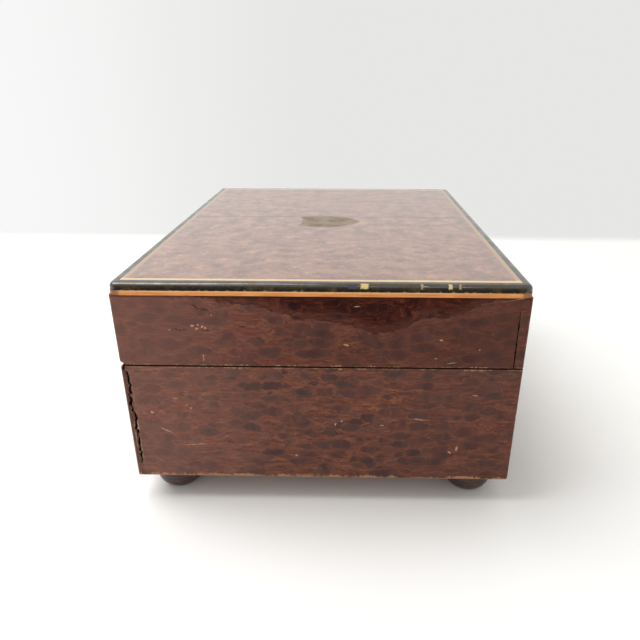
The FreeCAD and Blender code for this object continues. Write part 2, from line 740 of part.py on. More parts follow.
BRIDGE_MID_XS = (LEFT_BRIDGE_X + BRIDGE_PLATE / 2, RIGHT_BRIDGE_X + BRIDGE_PLATE / 2)
PLATE_FOOT_XS = (GOVERNOR_PLATE_START_X - GOVERNOR_FOOT_LENGTH / 2, PLATE_FAR_X + GOVERNOR_FOOT_LENGTH / 2)
BED_SCREW_LENGTH = FLANGE + BED_THICKNESS - SCREW_END_COVER
COCK_SCREW_LENGTH = COCK_ARM + BED_THICKNESS - SCREW_END_COVER


def cylinder_bridge_screw_points():
    return [(x, CYLINDER_Y + s * BRIDGE_SCREW_REACH) for x in BRIDGE_MID_XS for s in (-1, 1)]


def barrel_bridge_screw_points():
    return [(BARREL_X, CYLINDER_Y + s * BARREL_SCREW_REACH) for s in (-1, 1)]


def plate_screw_points():
    return [(x, y) for x in PLATE_FOOT_XS for y in PLATE_SCREW_YS]


def comb_base_screw_points():
    step = (COMB_END_X - COMB_START_X) / 4
    return [(COMB_START_X + n * step, COMB_SCREW_Y) for n in (1, 3)]


def bedplate():
    x0 = BED_END_GAP - IN_X
    y0 = BED_FRONT_GAP - IN_Y
    y1 = IN_Y - BED_REAR_GAP
    plate = box(x0, -x0, y0, y1, BED_Z, BED_TOP)
    plate = corner_rounded(plate, [(s * x0, y) for s in (-1, 1) for y in (y0, y1)], BED_CORNER_ROUND)
    cuts = [rod_z(WIND_ARBOR_RADIUS + RUNNING_FIT, BED_Z, BED_TOP, BARREL_X, CYLINDER_Y)]
    wheels = ((GREAT_R + ADD, GREAT_WHEEL_X, GREAT_WHEEL_FACE, CYLINDER_Y, CYLINDER_Z),
              (FIRST_WHEEL_R + FINE_ADD, FIRST_WHEEL_X, FIRST_WHEEL_FACE, FIRST_Y, FIRST_Z))
    for radius, x, face, y, z in wheels:
        cuts.append(rod_x(radius + WHEEL_RELIEF, x - WHEEL_RELIEF, x + face + WHEEL_RELIEF, y, z))
    for x, y in cylinder_bridge_screw_points() + barrel_bridge_screw_points() + plate_screw_points():
        cuts.append(screw_hole(BED_SCREW, x, y, FLANGE_TOP, BED_SCREW_LENGTH))
    for x, y in pillar_centres():
        cuts.append(screw_hole(CASE_SCREW, x, y, CASE_SCREW_SEAT, CASE_SCREW_LENGTH, False))
    for x, y in comb_base_screw_points():
        cuts.append(screw_hole(BED_SCREW, x, y, BED_Z, COMB_SCREW_LENGTH, False))
    for x, y in lever_posts_at():
        cuts.append(rod_z(LEVER_POST_RADIUS + GLUE_FIT, BED_Z, BED_TOP, x, y))
    cuts.append(screw_hole(BED_SCREW, WORM_X, COCK_SCREW_Y, COCK_LOW_TOP, COCK_SCREW_LENGTH))
    return [plate.cut(cuts)]


def bed_pillars():
    pillars = []
    for x, y in pillar_centres():
        hole = screw_hole(CASE_SCREW, x, y, CASE_SCREW_SEAT, CASE_SCREW_LENGTH, False)
        pillars.append(rod_z(PILLAR_RADIUS, FLOOR_Z, BED_Z, x, y).cut(hole))
    return pillars


def bed_screws():
    return [screw(CASE_SCREW, x, y, CASE_SCREW_SEAT, CASE_SCREW_LENGTH, False) for x, y in pillar_centres()]


def bedplate_screws():
    points = cylinder_bridge_screw_points() + barrel_bridge_screw_points() + plate_screw_points()
    screws = [screw(BED_SCREW, x, y, FLANGE_TOP, BED_SCREW_LENGTH) for x, y in points]
    screws += [screw(BED_SCREW, x, y, BED_Z, COMB_SCREW_LENGTH, False) for x, y in comb_base_screw_points()]
    screws.append(screw(BED_SCREW, WORM_X, COCK_SCREW_Y, COCK_LOW_TOP, COCK_SCREW_LENGTH))
    return screws


# Spring barrel and winding work

def crown_tooth(index):
    half_pitch = math.pi * MODULE / 4 - CROWN_BACKLASH / 2
    slope = math.tan(PRESSURE_ANGLE)
    half_tip = half_pitch - ADD * slope
    half_root = half_pitch + DED * slope
    tip_z = CROWN_PITCH_Z + ADD
    sunk_z = DRUM_TOP_Z - DRUM_TOP / 4
    x0 = BARREL_X + CROWN_R - CROWN_FACE / 2
    points = [V(x0, CYLINDER_Y + t, z) for t, z in (
        (-half_root, sunk_z), (-half_root, DRUM_TOP_Z), (-half_tip, tip_z),
        (half_tip, tip_z), (half_root, DRUM_TOP_Z), (half_root, sunk_z))]
    tooth = prism(points, V(CROWN_FACE, 0, 0))
    tooth.rotate(V(BARREL_X, CYLINDER_Y, 0), V(0, 0, 1), (index + 0.5) * 360.0 / CROWN_TEETH)
    return tooth


def barrel_drum():
    bore = BARREL_R - DRUM_WALL
    drum = rod_z(BARREL_R, BARREL_Z, DRUM_TOP_Z, BARREL_X, CYLINDER_Y)
    hollow = rod_z(bore, BARREL_Z, DRUM_TOP_Z - DRUM_TOP, BARREL_X, CYLINDER_Y)
    eye = rod_z(WIND_ARBOR_RADIUS + RUNNING_FIT, BARREL_Z, DRUM_TOP_Z, BARREL_X, CYLINDER_Y)
    rim = rod_z(BARREL_R, BARREL_Z, CROWN_PITCH_Z + ADD, BARREL_X, CYLINDER_Y)
    teeth = [crown_tooth(index).common(rim) for index in range(CROWN_TEETH)]
    return [drum.cut([hollow, eye]).fuse(teeth)]


def barrel_cover():
    disc = rod_z(BARREL_R - DRUM_WALL - GLUE_FIT, BARREL_Z, BARREL_Z + COVER_THICKNESS, BARREL_X, CYLINDER_Y)
    return [disc.cut(rod_z(WIND_ARBOR_RADIUS + RUNNING_FIT, BARREL_Z, DRUM_TOP_Z, BARREL_X, CYLINDER_Y))]


def spring_edge(offset, half_turns, z):
    step = SPRING_PITCH / 2
    arcs = []
    for turn in range(half_turns):
        side = 1 if turn % 2 == 0 else -1
        radius = SPRING_INNER_RADIUS + turn * step + offset
        x = BARREL_X + (0 if turn % 2 == 0 else step)
        arcs.append(arc(V(x + side * radius, CYLINDER_Y, z), V(x, CYLINDER_Y + side * radius, z),
                        V(x - side * radius, CYLINDER_Y, z)))
    return arcs


def mainspring():
    z0 = BARREL_Z + COVER_THICKNESS + SPRING_SIDE_GAP
    z1 = DRUM_TOP_Z - DRUM_TOP - SPRING_SIDE_GAP
    room = BARREL_R - DRUM_WALL - SPRING_INNER_RADIUS - SPRING_PITCH
    half_turns = 2 * int(room / SPRING_PITCH)
    inner = spring_edge(-SPRING_STRIP / 2, half_turns, z0)
    outer = spring_edge(SPRING_STRIP / 2, half_turns, z0)

    def end_of(edges, last):
        edge = edges[-1] if last else edges[0]
        return edge.valueAt(edge.LastParameter if last else edge.FirstParameter)
    caps = [line(end_of(inner, last), end_of(outer, last)) for last in (False, True)]
    wire = Part.Wire(Part.__sortEdges__(inner + outer + caps))
    return [Part.Face(wire).extrude(V(0, 0, z1 - z0))]


def winding_arbor():
    low = BASE_Z - KEY_FLOOR_GAP - KEY_SOCKET_DEPTH + GLUE_FIT
    shoulder = BARREL_BRIDGE_Z - RUNNING_FIT
    stem = rod_z(WIND_ARBOR_RADIUS, low, shoulder, BARREL_X, CYLINDER_Y)
    pivot = rod_z(WIND_PIVOT_RADIUS, shoulder, RATCHET_TOP + RATCHET_LIFT, BARREL_X, CYLINDER_Y)
    return [joined([stem, pivot])]


def winding_key():
    z0 = KEY_GROUND_GAP
    z1 = BASE_Z - KEY_FLOOR_GAP
    wing_z = z0 + KEY_WING_RADIUS
    half = KEY_WING_THICKNESS / 2
    boss = rod_z(KEY_BOSS_RADIUS, z0, z1, BARREL_X, CYLINDER_Y)
    web = box(BARREL_X - KEY_WING_REACH, BARREL_X + KEY_WING_REACH, CYLINDER_Y - half, CYLINDER_Y + half,
              wing_z - KEY_WING_RADIUS / 2, wing_z + KEY_WING_RADIUS / 2)
    solids = [boss, web]
    cuts = [rod_z(WIND_ARBOR_RADIUS + GLUE_FIT, z1 - KEY_SOCKET_DEPTH, z1, BARREL_X, CYLINDER_Y)]
    for side in (-1, 1):
        x = BARREL_X + side * KEY_WING_REACH
        solids.append(rod_y(KEY_WING_RADIUS, CYLINDER_Y - half, CYLINDER_Y + half, x, wing_z))
        cuts.append(rod_y(KEY_WING_HOLE, CYLINDER_Y - half, CYLINDER_Y + half, x, wing_z))
    return [joined(solids).cut(cuts)]


def barrel_bridge():
    half = BARREL_BRIDGE_WIDTH / 2
    x0, x1 = BARREL_X - half, BARREL_X + half
    outer = BARREL_LEG_REACH + BARREL_BRIDGE_LEG
    flange = BARREL_SCREW_REACH + BED_SCREW[0] + SCREW_ROOM
    solids = [box(x0, x1, CYLINDER_Y - outer, CYLINDER_Y + outer, BARREL_BRIDGE_Z, BARREL_BRIDGE_TOP)]
    for side in (-1, 1):
        y0, y1 = sorted((CYLINDER_Y + side * BARREL_LEG_REACH, CYLINDER_Y + side * outer))
        solids.append(box(x0, x1, y0, y1, BED_TOP, BARREL_BRIDGE_TOP))
        y0, y1 = sorted((CYLINDER_Y + side * BARREL_LEG_REACH, CYLINDER_Y + side * flange))
        solids.append(box(x0, x1, y0, y1, BED_TOP, FLANGE_TOP))
    cuts = [rod_z(WIND_PIVOT_RADIUS + RUNNING_FIT, BARREL_BRIDGE_Z, BARREL_BRIDGE_TOP, BARREL_X, CYLINDER_Y),
            rod_z(CLICK_POST_RADIUS + GLUE_FIT, BARREL_BRIDGE_Z, BARREL_BRIDGE_TOP, BARREL_X, CLICK_Y)]
    for x, y in barrel_bridge_screw_points():
        cuts.append(screw_hole(BED_SCREW, x, y, FLANGE_TOP, BED_SCREW_LENGTH))
    return [joined(solids).cut(cuts)]


def ratchet_wheel():
    points = []
    root = RATCHET_RADIUS - RATCHET_DEPTH
    for index in range(RATCHET_TEETH):
        angle = 2 * math.pi * index / RATCHET_TEETH
        for radius in (RATCHET_RADIUS, root):
            x = BARREL_X + radius * math.cos(angle)
            y = CYLINDER_Y + radius * math.sin(angle)
            points.append(V(x, y, RATCHET_Z))
    wheel = prism(points, V(0, 0, RATCHET_THICKNESS))
    return [wheel.cut(rod_z(WIND_PIVOT_RADIUS + GLUE_FIT, RATCHET_Z, RATCHET_TOP, BARREL_X, CYLINDER_Y))]


CLICK_PIVOT = V(BARREL_X, CLICK_Y, RATCHET_Z)
CLICK_NOSE_RADIUS = RATCHET_RADIUS + CLICK_NOSE_GAP
CLICK_NOSE = V(BARREL_X + CLICK_NOSE_RADIUS * math.cos(CLICK_NOSE_ANGLE),
               CYLINDER_Y + CLICK_NOSE_RADIUS * math.sin(CLICK_NOSE_ANGLE), RATCHET_Z)
CLICK_WAY = (CLICK_NOSE - CLICK_PIVOT).normalize()
CLICK_SIDE = V(-CLICK_WAY.y, CLICK_WAY.x, 0)


def ratchet_click():
    hub = rod_z(CLICK_HUB_RADIUS, RATCHET_Z, RATCHET_TOP, BARREL_X, CLICK_Y)
    root = CLICK_HUB_RADIUS * 0.8
    nose = [CLICK_PIVOT + CLICK_SIDE * root, CLICK_PIVOT - CLICK_SIDE * root, CLICK_NOSE]
    tail_end = CLICK_PIVOT - CLICK_WAY * CLICK_TAIL
    tail = [CLICK_PIVOT + CLICK_SIDE * root, CLICK_PIVOT - CLICK_SIDE * root,
            tail_end - CLICK_SIDE * root / 2, tail_end + CLICK_SIDE * root / 2]
    rise = V(0, 0, RATCHET_THICKNESS)
    eye = rod_z(CLICK_POST_RADIUS + RUNNING_FIT, RATCHET_Z, RATCHET_TOP, BARREL_X, CLICK_Y)
    return [joined([hub, prism(nose, rise), prism(tail, rise)]).cut(eye)]


def click_post():
    top = RATCHET_TOP + RATCHET_LIFT
    stem = rod_z(CLICK_POST_RADIUS, BARREL_BRIDGE_Z, top, BARREL_X, CLICK_Y)
    cap = rod_z(CLICK_HUB_RADIUS * 0.8, top, top + RATCHET_LIFT * 3, BARREL_X, CLICK_Y)
    return joined([stem, cap])


def click_spring():
    tail_end = CLICK_PIVOT - CLICK_WAY * CLICK_TAIL
    x1 = min(tail_end.x - CLICK_HUB_RADIUS * 0.4, BARREL_X - CLICK_HUB_RADIUS) - CLICK_SPRING_GAP
    y1 = CYLINDER_Y + BARREL_LEG_REACH + BARREL_BRIDGE_LEG
    leaf = box(x1 - CLICK_SPRING_LEAF, x1, y1 - CLICK_SPRING_LENGTH, y1, RATCHET_Z, RATCHET_TOP)
    foot = box(x1 - 2 * CLICK_POST_RADIUS, x1, y1 - 2 * CLICK_POST_RADIUS, y1, BARREL_BRIDGE_TOP, RATCHET_TOP)
    return [joined([leaf, foot])]


# Cylinder and its train wheel

def cylinder_tube():
    outer = rod_x(CYLINDER_RADIUS, CYLINDER_START_X, CYLINDER_END_X, CYLINDER_Y, CYLINDER_Z)
    return [outer.cut(rod_x(CYLINDER_RADIUS - CYLINDER_WALL, CYLINDER_START_X, CYLINDER_END_X,
                            CYLINDER_Y, CYLINDER_Z))]


def cylinder_caps():
    radius = CYLINDER_RADIUS - CYLINDER_WALL - GLUE_FIT
    bore = rod_x(CYLINDER_ARBOR_RADIUS + RUNNING_FIT, CYLINDER_START_X, CYLINDER_END_X,
                 CYLINDER_Y, CYLINDER_Z)
    left = rod_x(radius, CYLINDER_START_X, CYLINDER_START_X + CYLINDER_CAP, CYLINDER_Y, CYLINDER_Z)
    right = rod_x(radius, CYLINDER_END_X - CYLINDER_CAP, CYLINDER_END_X, CYLINDER_Y, CYLINDER_Z)
    follower = rod_x(FOLLOWER_RADIUS, CYLINDER_END_X - CYLINDER_CAP, CYLINDER_END_X + FOLLOWER_LENGTH,
                     CYLINDER_Y, CYLINDER_Z + SNAIL_REACH - SNAIL_RADIUS / 2)
    return [left.cut(bore), joined([right.cut(bore), follower])]


def track_x(track):
    return COMB_START_X + (track + 0.5) * TOOTH_PITCH


def cylinder_pins():
    golden = math.pi * (3 - math.sqrt(5))
    pins = []
    for track in range(COMB_TEETH):
        for index in range(PINS_PER_TRACK):
            angle = golden * (track * PINS_PER_TRACK + index) + 2 * math.pi * index / PINS_PER_TRACK
            way = V(0, math.cos(angle), math.sin(angle))
            start = V(track_x(track), CYLINDER_Y, CYLINDER_Z) + way * (CYLINDER_RADIUS - PIN_ROOT)
            pins.append(Part.makeCylinder(PIN_RADIUS, PIN_ROOT + PIN_HEIGHT, start, way))
    return pins


def cylinder_arbor():
    shoulder_gap = RUNNING_FIT * 4
    x0 = LEFT_BRIDGE_X + BRIDGE_PLATE + shoulder_gap
    x1 = RIGHT_BRIDGE_X - shoulder_gap
    body = rod_x(CYLINDER_ARBOR_RADIUS, x0, x1, CYLINDER_Y, CYLINDER_Z)
    far_x = RIGHT_BRIDGE_X + BRIDGE_PLATE
    pivot = rod_x(CYLINDER_PIVOT_RADIUS, DRIVE_PINION_X, far_x, CYLINDER_Y, CYLINDER_Z)
    return [joined([body, pivot])]


def drive_pinion():
    x1 = DRIVE_PINION_X + DRIVE_PINION_FACE
    pinion = gear(MODULE, DRIVE_PINION_TEETH, DRIVE_PHASE, CYLINDER_Y, CYLINDER_Z, DRIVE_PINION_X, x1)
    bore = rod_x(CYLINDER_PIVOT_RADIUS + GLUE_FIT, DRIVE_PINION_X, x1, CYLINDER_Y, CYLINDER_Z)
    return [pinion.cut(bore)]


def great_wheel():
    x1 = GREAT_WHEEL_X + GREAT_WHEEL_FACE
    wheel = gear(MODULE, GREAT_WHEEL_TEETH, GREAT_PHASE, CYLINDER_Y, CYLINDER_Z, GREAT_WHEEL_X, x1)
    cuts = [rod_x(CYLINDER_ARBOR_RADIUS + GLUE_FIT, GREAT_WHEEL_X, x1, CYLINDER_Y, CYLINDER_Z)]
    for turn in (-0.5, -0.25, 0.0):
        angle = 2 * math.pi * turn
        y = CYLINDER_Y + GREAT_WHEEL_HOLE_REACH * math.cos(angle)
        z = CYLINDER_Z + GREAT_WHEEL_HOLE_REACH * math.sin(angle)
        cuts.append(rod_x(GREAT_WHEEL_HOLE_RADIUS, GREAT_WHEEL_X, x1, y, z))
    return [wheel.cut(cuts)]


def tune_snail():
    centre_z = CYLINDER_Z + SNAIL_REACH
    sectors = []
    for step in range(SNAIL_STEPS):
        height = SNAIL_BASE + step * SNAIL_RISE
        sector = Part.makeCylinder(SNAIL_RADIUS, height, V(GREAT_WHEEL_X, CYLINDER_Y, centre_z), V(-1, 0, 0),
                                   360.0 / SNAIL_STEPS)
        sector.rotate(V(GREAT_WHEEL_X, CYLINDER_Y, centre_z), V(1, 0, 0), step * 360.0 / SNAIL_STEPS)
        sectors.append(sector)
    return [joined(sectors)]


def cylinder_bridge(x0):
    x1 = x0 + BRIDGE_PLATE
    middle = (x0 + x1) / 2
    plate = box(x0, x1, CYLINDER_Y - BRIDGE_HALF_WIDTH, CYLINDER_Y + BRIDGE_HALF_WIDTH, BED_TOP, CYLINDER_Z)
    head = rod_x(BRIDGE_HALF_WIDTH, x0, x1, CYLINDER_Y, CYLINDER_Z)
    foot = box(middle - FLANGE_HALF_WIDTH, middle + FLANGE_HALF_WIDTH, CYLINDER_Y - BRIDGE_FOOT_REACH,
               CYLINDER_Y + BRIDGE_FOOT_REACH, BED_TOP, FLANGE_TOP)
    cuts = [rod_x(CYLINDER_PIVOT_RADIUS + RUNNING_FIT, x0, x1, CYLINDER_Y, CYLINDER_Z)]
    for side in (-1, 1):
        y = CYLINDER_Y + side * BRIDGE_SCREW_REACH
        cuts.append(screw_hole(BED_SCREW, middle, y, FLANGE_TOP, BED_SCREW_LENGTH))
    return joined([plate, head, foot]).cut(cuts)


def cylinder_bridges():
    return [cylinder_bridge(LEFT_BRIDGE_X), cylinder_bridge(RIGHT_BRIDGE_X)]


# Comb

def tooth_length(share):
    return BASS_TOOTH + (TREBLE_TOOTH - BASS_TOOTH) * share


def comb_screw_points():
    step = (COMB_END_X - COMB_START_X) / COMB_SCREWS
    return [(COMB_START_X + (n + 0.5) * step, COMB_SCREW_Y) for n in range(COMB_SCREWS)]


def comb_base():
    block = box(COMB_START_X - COMB_END_MARGIN, COMB_END_X + COMB_END_MARGIN, COMB_FRONT_Y, COMB_BASE_REAR_Y,
                BED_TOP, COMB_Z)
    cuts = [screw_hole(COMB_SCREW, x, y, COMB_TOP, COMB_SCREW_LENGTH) for x, y in comb_screw_points()]
    for x, y in comb_base_screw_points():
        cuts.append(screw_hole(BED_SCREW, x, y, BED_Z, COMB_SCREW_LENGTH, False))
    return [block.cut(cuts)]


def comb():
    x0 = COMB_START_X - COMB_END_MARGIN
    x1 = COMB_END_X + COMB_END_MARGIN
    plate = box(x0, x1, COMB_FRONT_Y, TIP_Y, COMB_Z, COMB_TOP)
    cuts = [box(x0, x1, TIP_Y - BASS_TOOTH, TIP_Y, COMB_Z, COMB_TOP - TOOTH_THICKNESS)]
    for slot in range(COMB_TEETH + 1):
        middle = COMB_START_X + slot * TOOTH_PITCH
        reach = tooth_length(slot / COMB_TEETH)
        half = TOOTH_SLOT / 2
        cuts.append(box(middle - half, middle + half, TIP_Y - reach, TIP_Y, COMB_Z, COMB_TOP))
    cuts.append(box(x0, COMB_START_X, TIP_Y - BASS_TOOTH, TIP_Y, COMB_Z, COMB_TOP))
    cuts.append(box(COMB_END_X, x1, TIP_Y - TREBLE_TOOTH, TIP_Y, COMB_Z, COMB_TOP))
    cuts += [screw_hole(COMB_SCREW, x, y, COMB_TOP, COMB_SCREW_LENGTH) for x, y in comb_screw_points()]
    return [plate.cut(cuts)]


def comb_leads():
    leads = []
    half = (TOOTH_PITCH - TOOTH_SLOT) / 2
    y1 = TIP_Y - LEAD_SETBACK
    z1 = COMB_TOP - TOOTH_THICKNESS
    for tooth in range(LEAD_TEETH):
        length = LEAD_LENGTH * (1 - 0.5 * tooth / LEAD_TEETH)
        depth = LEAD_DEPTH * (1 - 0.5 * tooth / LEAD_TEETH)
        x = track_x(tooth)
        leads.append(box(x - half, x + half, y1 - length, y1, z1 - depth, z1))
    return leads


def comb_screws():
    return [screw(COMB_SCREW, x, y, COMB_TOP, COMB_SCREW_LENGTH) for x, y in comb_screw_points()]


# Governor

def governor_plate(x0, foot_x0, foot_x1):
    x1 = x0 + GOVERNOR_PLATE
    plate = box(x0, x1, PLATE_LOW_Y, PLATE_HIGH_Y, BED_TOP, PLATE_TOP_Z)
    foot = box(foot_x0, foot_x1, PLATE_LOW_Y, PLATE_HIGH_Y, BED_TOP, FLANGE_TOP)
    cuts = [rod_x(GOVERNOR_PIVOT_RADIUS + RUNNING_FIT, x0, x1, FIRST_Y, FIRST_Z),
            rod_x(GOVERNOR_PIVOT_RADIUS + RUNNING_FIT, x0, x1, SECOND_Y, SECOND_Z)]
    for y in PLATE_SCREW_YS:
        cuts.append(screw_hole(BED_SCREW, (foot_x0 + foot_x1) / 2, y, FLANGE_TOP, BED_SCREW_LENGTH))
    return joined([plate, foot]).cut(cuts)


def governor_plates():
    left_x = GOVERNOR_PLATE_START_X
    left = governor_plate(left_x, left_x - GOVERNOR_FOOT_LENGTH, left_x)
    right = governor_plate(GOVERNOR_PLATE_END_X, PLATE_FAR_X, PLATE_FAR_X + GOVERNOR_FOOT_LENGTH)
    return [left, right]


def governor_shaft(y, z):
    inner = GOVERNOR_PLATE_START_X + GOVERNOR_PLATE + SWING_GAP
    outer = GOVERNOR_PLATE_END_X - SWING_GAP
    shaft = rod_x(GOVERNOR_SHAFT_RADIUS, inner, outer, y, z)
    return shaft, rod_x(GOVERNOR_PIVOT_RADIUS, GOVERNOR_PLATE_START_X, PLATE_FAR_X, y, z)


def first_arbor():
    x0 = GREAT_WHEEL_X - PINION_OVERLAP
    x1 = GREAT_WHEEL_X + GREAT_WHEEL_FACE + PINION_OVERLAP
    pinion = gear(MODULE, GOVERNOR_PINION_TEETH, FIRST_PINION_PHASE, FIRST_Y, FIRST_Z, x0, x1)
    return [joined([pinion, *governor_shaft(FIRST_Y, FIRST_Z)])]


def first_wheel():
    x1 = FIRST_WHEEL_X + FIRST_WHEEL_FACE
    wheel = gear(FINE_MODULE, FIRST_WHEEL_TEETH, FIRST_WHEEL_PHASE, FIRST_Y, FIRST_Z, FIRST_WHEEL_X, x1)
    return [wheel.cut(rod_x(GOVERNOR_SHAFT_RADIUS + GLUE_FIT, FIRST_WHEEL_X, x1, FIRST_Y, FIRST_Z))]


def second_arbor():
    x0 = FIRST_WHEEL_X - PINION_OVERLAP
    x1 = FIRST_WHEEL_X + FIRST_WHEEL_FACE + PINION_OVERLAP
    pinion = gear(FINE_MODULE, SECOND_PINION_TEETH, SECOND_PINION_PHASE, SECOND_Y, SECOND_Z, x0, x1)
    return [joined([pinion, *governor_shaft(SECOND_Y, SECOND_Z)])]


def worm_wheel_tooth(index):
    half_tip = tooth_half_angle(WORM_WHEEL_R + ADD, MODULE, WORM_WHEEL_TEETH)
    half_root = tooth_half_angle(WORM_WHEEL_R, MODULE, WORM_WHEEL_TEETH) * 1.35
    root = WORM_WHEEL_R - DED
    tip = WORM_WHEEL_R + ADD
    centre = math.pi + 2 * math.pi * index / WORM_WHEEL_TEETH
    lean = WORM_LEAD_SLOPE * WORM_WHEEL_FACE
    tangent = V(0, -math.sin(centre), math.cos(centre))
    start = V(WORM_X - WORM_WHEEL_FACE / 2, SECOND_Y, SECOND_Z) - tangent * (lean / 2)
    corners = ((root * 0.9, -half_root), (root, -half_root), (tip, -half_tip),
               (tip, half_tip), (root, half_root), (root * 0.9, half_root))
    points = []
    for radius, offset in corners:
        angle = centre + offset
        points.append(start + V(0, radius * math.cos(angle), radius * math.sin(angle)))
    return prism(points, V(WORM_WHEEL_FACE, 0, 0) + tangent * lean)


def worm_wheel():
    x0 = WORM_X - WORM_WHEEL_FACE / 2
    x1 = WORM_X + WORM_WHEEL_FACE / 2
    disc = rod_x(WORM_WHEEL_R - DED, x0, x1, SECOND_Y, SECOND_Z)
    teeth = [worm_wheel_tooth(index) for index in range(WORM_WHEEL_TEETH)]
    bore = rod_x(GOVERNOR_SHAFT_RADIUS + GLUE_FIT, x0, x1, SECOND_Y, SECOND_Z)
    return [disc.fuse(teeth).cut(bore)]


def worm_thread(start):
    slope = math.tan(PRESSURE_ANGLE)
    half_pitch = WORM_PITCH / 4 - BACKLASH / 2
    sunk = WORM_RADIUS - DED * 1.5
    tip = WORM_RADIUS + ADD
    half_sunk = half_pitch + (WORM_RADIUS - sunk) * slope
    half_tip = half_pitch - ADD * slope
    low = WORM_START_Z - WORM_LEAD
    quarter_turn = WORM_LEAD / 4
    z = low + (SECOND_Z + WORM_PITCH / 2 - quarter_turn - low) % WORM_PITCH + start * WORM_PITCH
    helix = Part.makeHelix(WORM_LEAD, WORM_LENGTH + 2 * WORM_LEAD, WORM_RADIUS)
    helix.translate(V(WORM_X, WORM_Y, z))
    corners = ((sunk, -half_sunk), (tip, -half_tip), (tip, half_tip), (sunk, half_sunk))
    points = [V(WORM_X + radius, WORM_Y, z + offset) for radius, offset in corners]
    profile = Part.makePolygon(points + points[:1])
    return Part.Wire(helix.Edges).makePipeShell([profile], True, True)


def endless_screw():
    low_pivot = BED_TOP + RUNNING_FIT * 2
    low = COCK_LOW_TOP + SWING_GAP
    high = COCK_ARM_Z - SWING_GAP
    shaft = rod_z(SCREW_SHAFT_RADIUS, low, high, WORM_X, WORM_Y)
    pivot = rod_z(SCREW_PIVOT_RADIUS, low_pivot, COCK_TOP_Z - RUNNING_FIT, WORM_X, WORM_Y)
    core = rod_z(WORM_RADIUS - DED, WORM_START_Z, WORM_START_Z + WORM_LENGTH, WORM_X, WORM_Y)
    span = rod_z(WORM_RADIUS + MODULE, WORM_START_Z, WORM_START_Z + WORM_LENGTH, WORM_X, WORM_Y)
    solid = shaft.fuse([pivot, core])
    for start in range(WORM_STARTS):
        solid = solid.fuse(worm_thread(start).common(span))
    return [solid]


def fly():
    hub = rod_z(FLY_HUB_RADIUS, FLY_Z, FLY_TOP_Z, WORM_X, WORM_Y)
    half = FLY_SHEET / 2
    rim = FLY_HEIGHT / 10
    vanes = box(WORM_X - FLY_RADIUS, WORM_X + FLY_RADIUS, WORM_Y - half, WORM_Y + half,
                FLY_Z + rim, FLY_TOP_Z - rim)
    return [joined([hub, vanes]).cut(rod_z(SCREW_SHAFT_RADIUS + GLUE_FIT, FLY_Z, FLY_TOP_Z, WORM_X, WORM_Y))]


def governor_cock():
    x0, x1 = WORM_X - COCK_HALF_WIDTH, WORM_X + COCK_HALF_WIDTH
    y0, y1 = WORM_Y - COCK_NOSE, COCK_POST_Y + COCK_POST
    low = box(x0, x1, COCK_FRONT_Y, y1, BED_TOP, COCK_LOW_TOP)
    high = box(x0, x1, y0, y1, COCK_ARM_Z, COCK_TOP_Z)
    post = box(x0, x1, COCK_POST_Y, y1, BED_TOP, COCK_TOP_Z)
    cuts = [rod_z(SCREW_PIVOT_RADIUS + RUNNING_FIT, BED_TOP, COCK_TOP_Z, WORM_X, WORM_Y),
            screw_hole(BED_SCREW, WORM_X, COCK_SCREW_Y, COCK_LOW_TOP, COCK_SCREW_LENGTH)]
    return [joined([low, high, post]).cut(cuts)]


def endstone():
    return [rod_z(STONE_RADIUS, COCK_TOP_Z, COCK_TOP_Z + STONE_HEIGHT, WORM_X, WORM_Y)]


def endstone_plate():
    y0, y1 = WORM_Y - COCK_NOSE, WORM_Y - COCK_NOSE + STONE_PLATE_LENGTH
    top = COCK_TOP_Z + STONE_PLATE
    plate = box(WORM_X - COCK_HALF_WIDTH, WORM_X + COCK_HALF_WIDTH, y0, y1, COCK_TOP_Z, top)
    return [plate.cut(rod_z(STONE_RADIUS + GLUE_FIT, COCK_TOP_Z, top, WORM_X, WORM_Y))]


# Control levers

def lever_posts_at():
    return [(STOP_POST_X, STOP_POST_Y), (CHANGE_POST_X, CHANGE_POST_Y)]


def lever_post(x, y, z):
    stem = rod_z(LEVER_POST_RADIUS, BED_Z, z + LEVER_THICKNESS + SWING_GAP, x, y)
    collar = rod_z(LEVER_COLLAR_RADIUS, BED_TOP, z - SWING_GAP, x, y)
    cap_z = z + LEVER_THICKNESS + SWING_GAP
    cap = rod_z(LEVER_COLLAR_RADIUS, cap_z, cap_z + LEVER_CAP, x, y)
    return joined([stem, collar, cap])


def pivot_posts():
    stop = lever_post(STOP_POST_X, STOP_POST_Y, STOP_Z)
    change = lever_post(CHANGE_POST_X, CHANGE_POST_Y, CHANGE_Z)
    return [stop, change, click_post()]


def lever_eye(x, y, z):
    return rod_z(LEVER_POST_RADIUS + RUNNING_FIT, z, z + LEVER_THICKNESS, x, y)


def lever_knob(x, y, z):
    stem = rod_z(KNOB_STEM_RADIUS, z, z + LEVER_THICKNESS + KNOB_HEIGHT / 2, x, y)
    ball = Part.makeSphere(KNOB_RADIUS, V(x, y, z + LEVER_THICKNESS + KNOB_HEIGHT - KNOB_RADIUS))
    return joined([stem, ball])


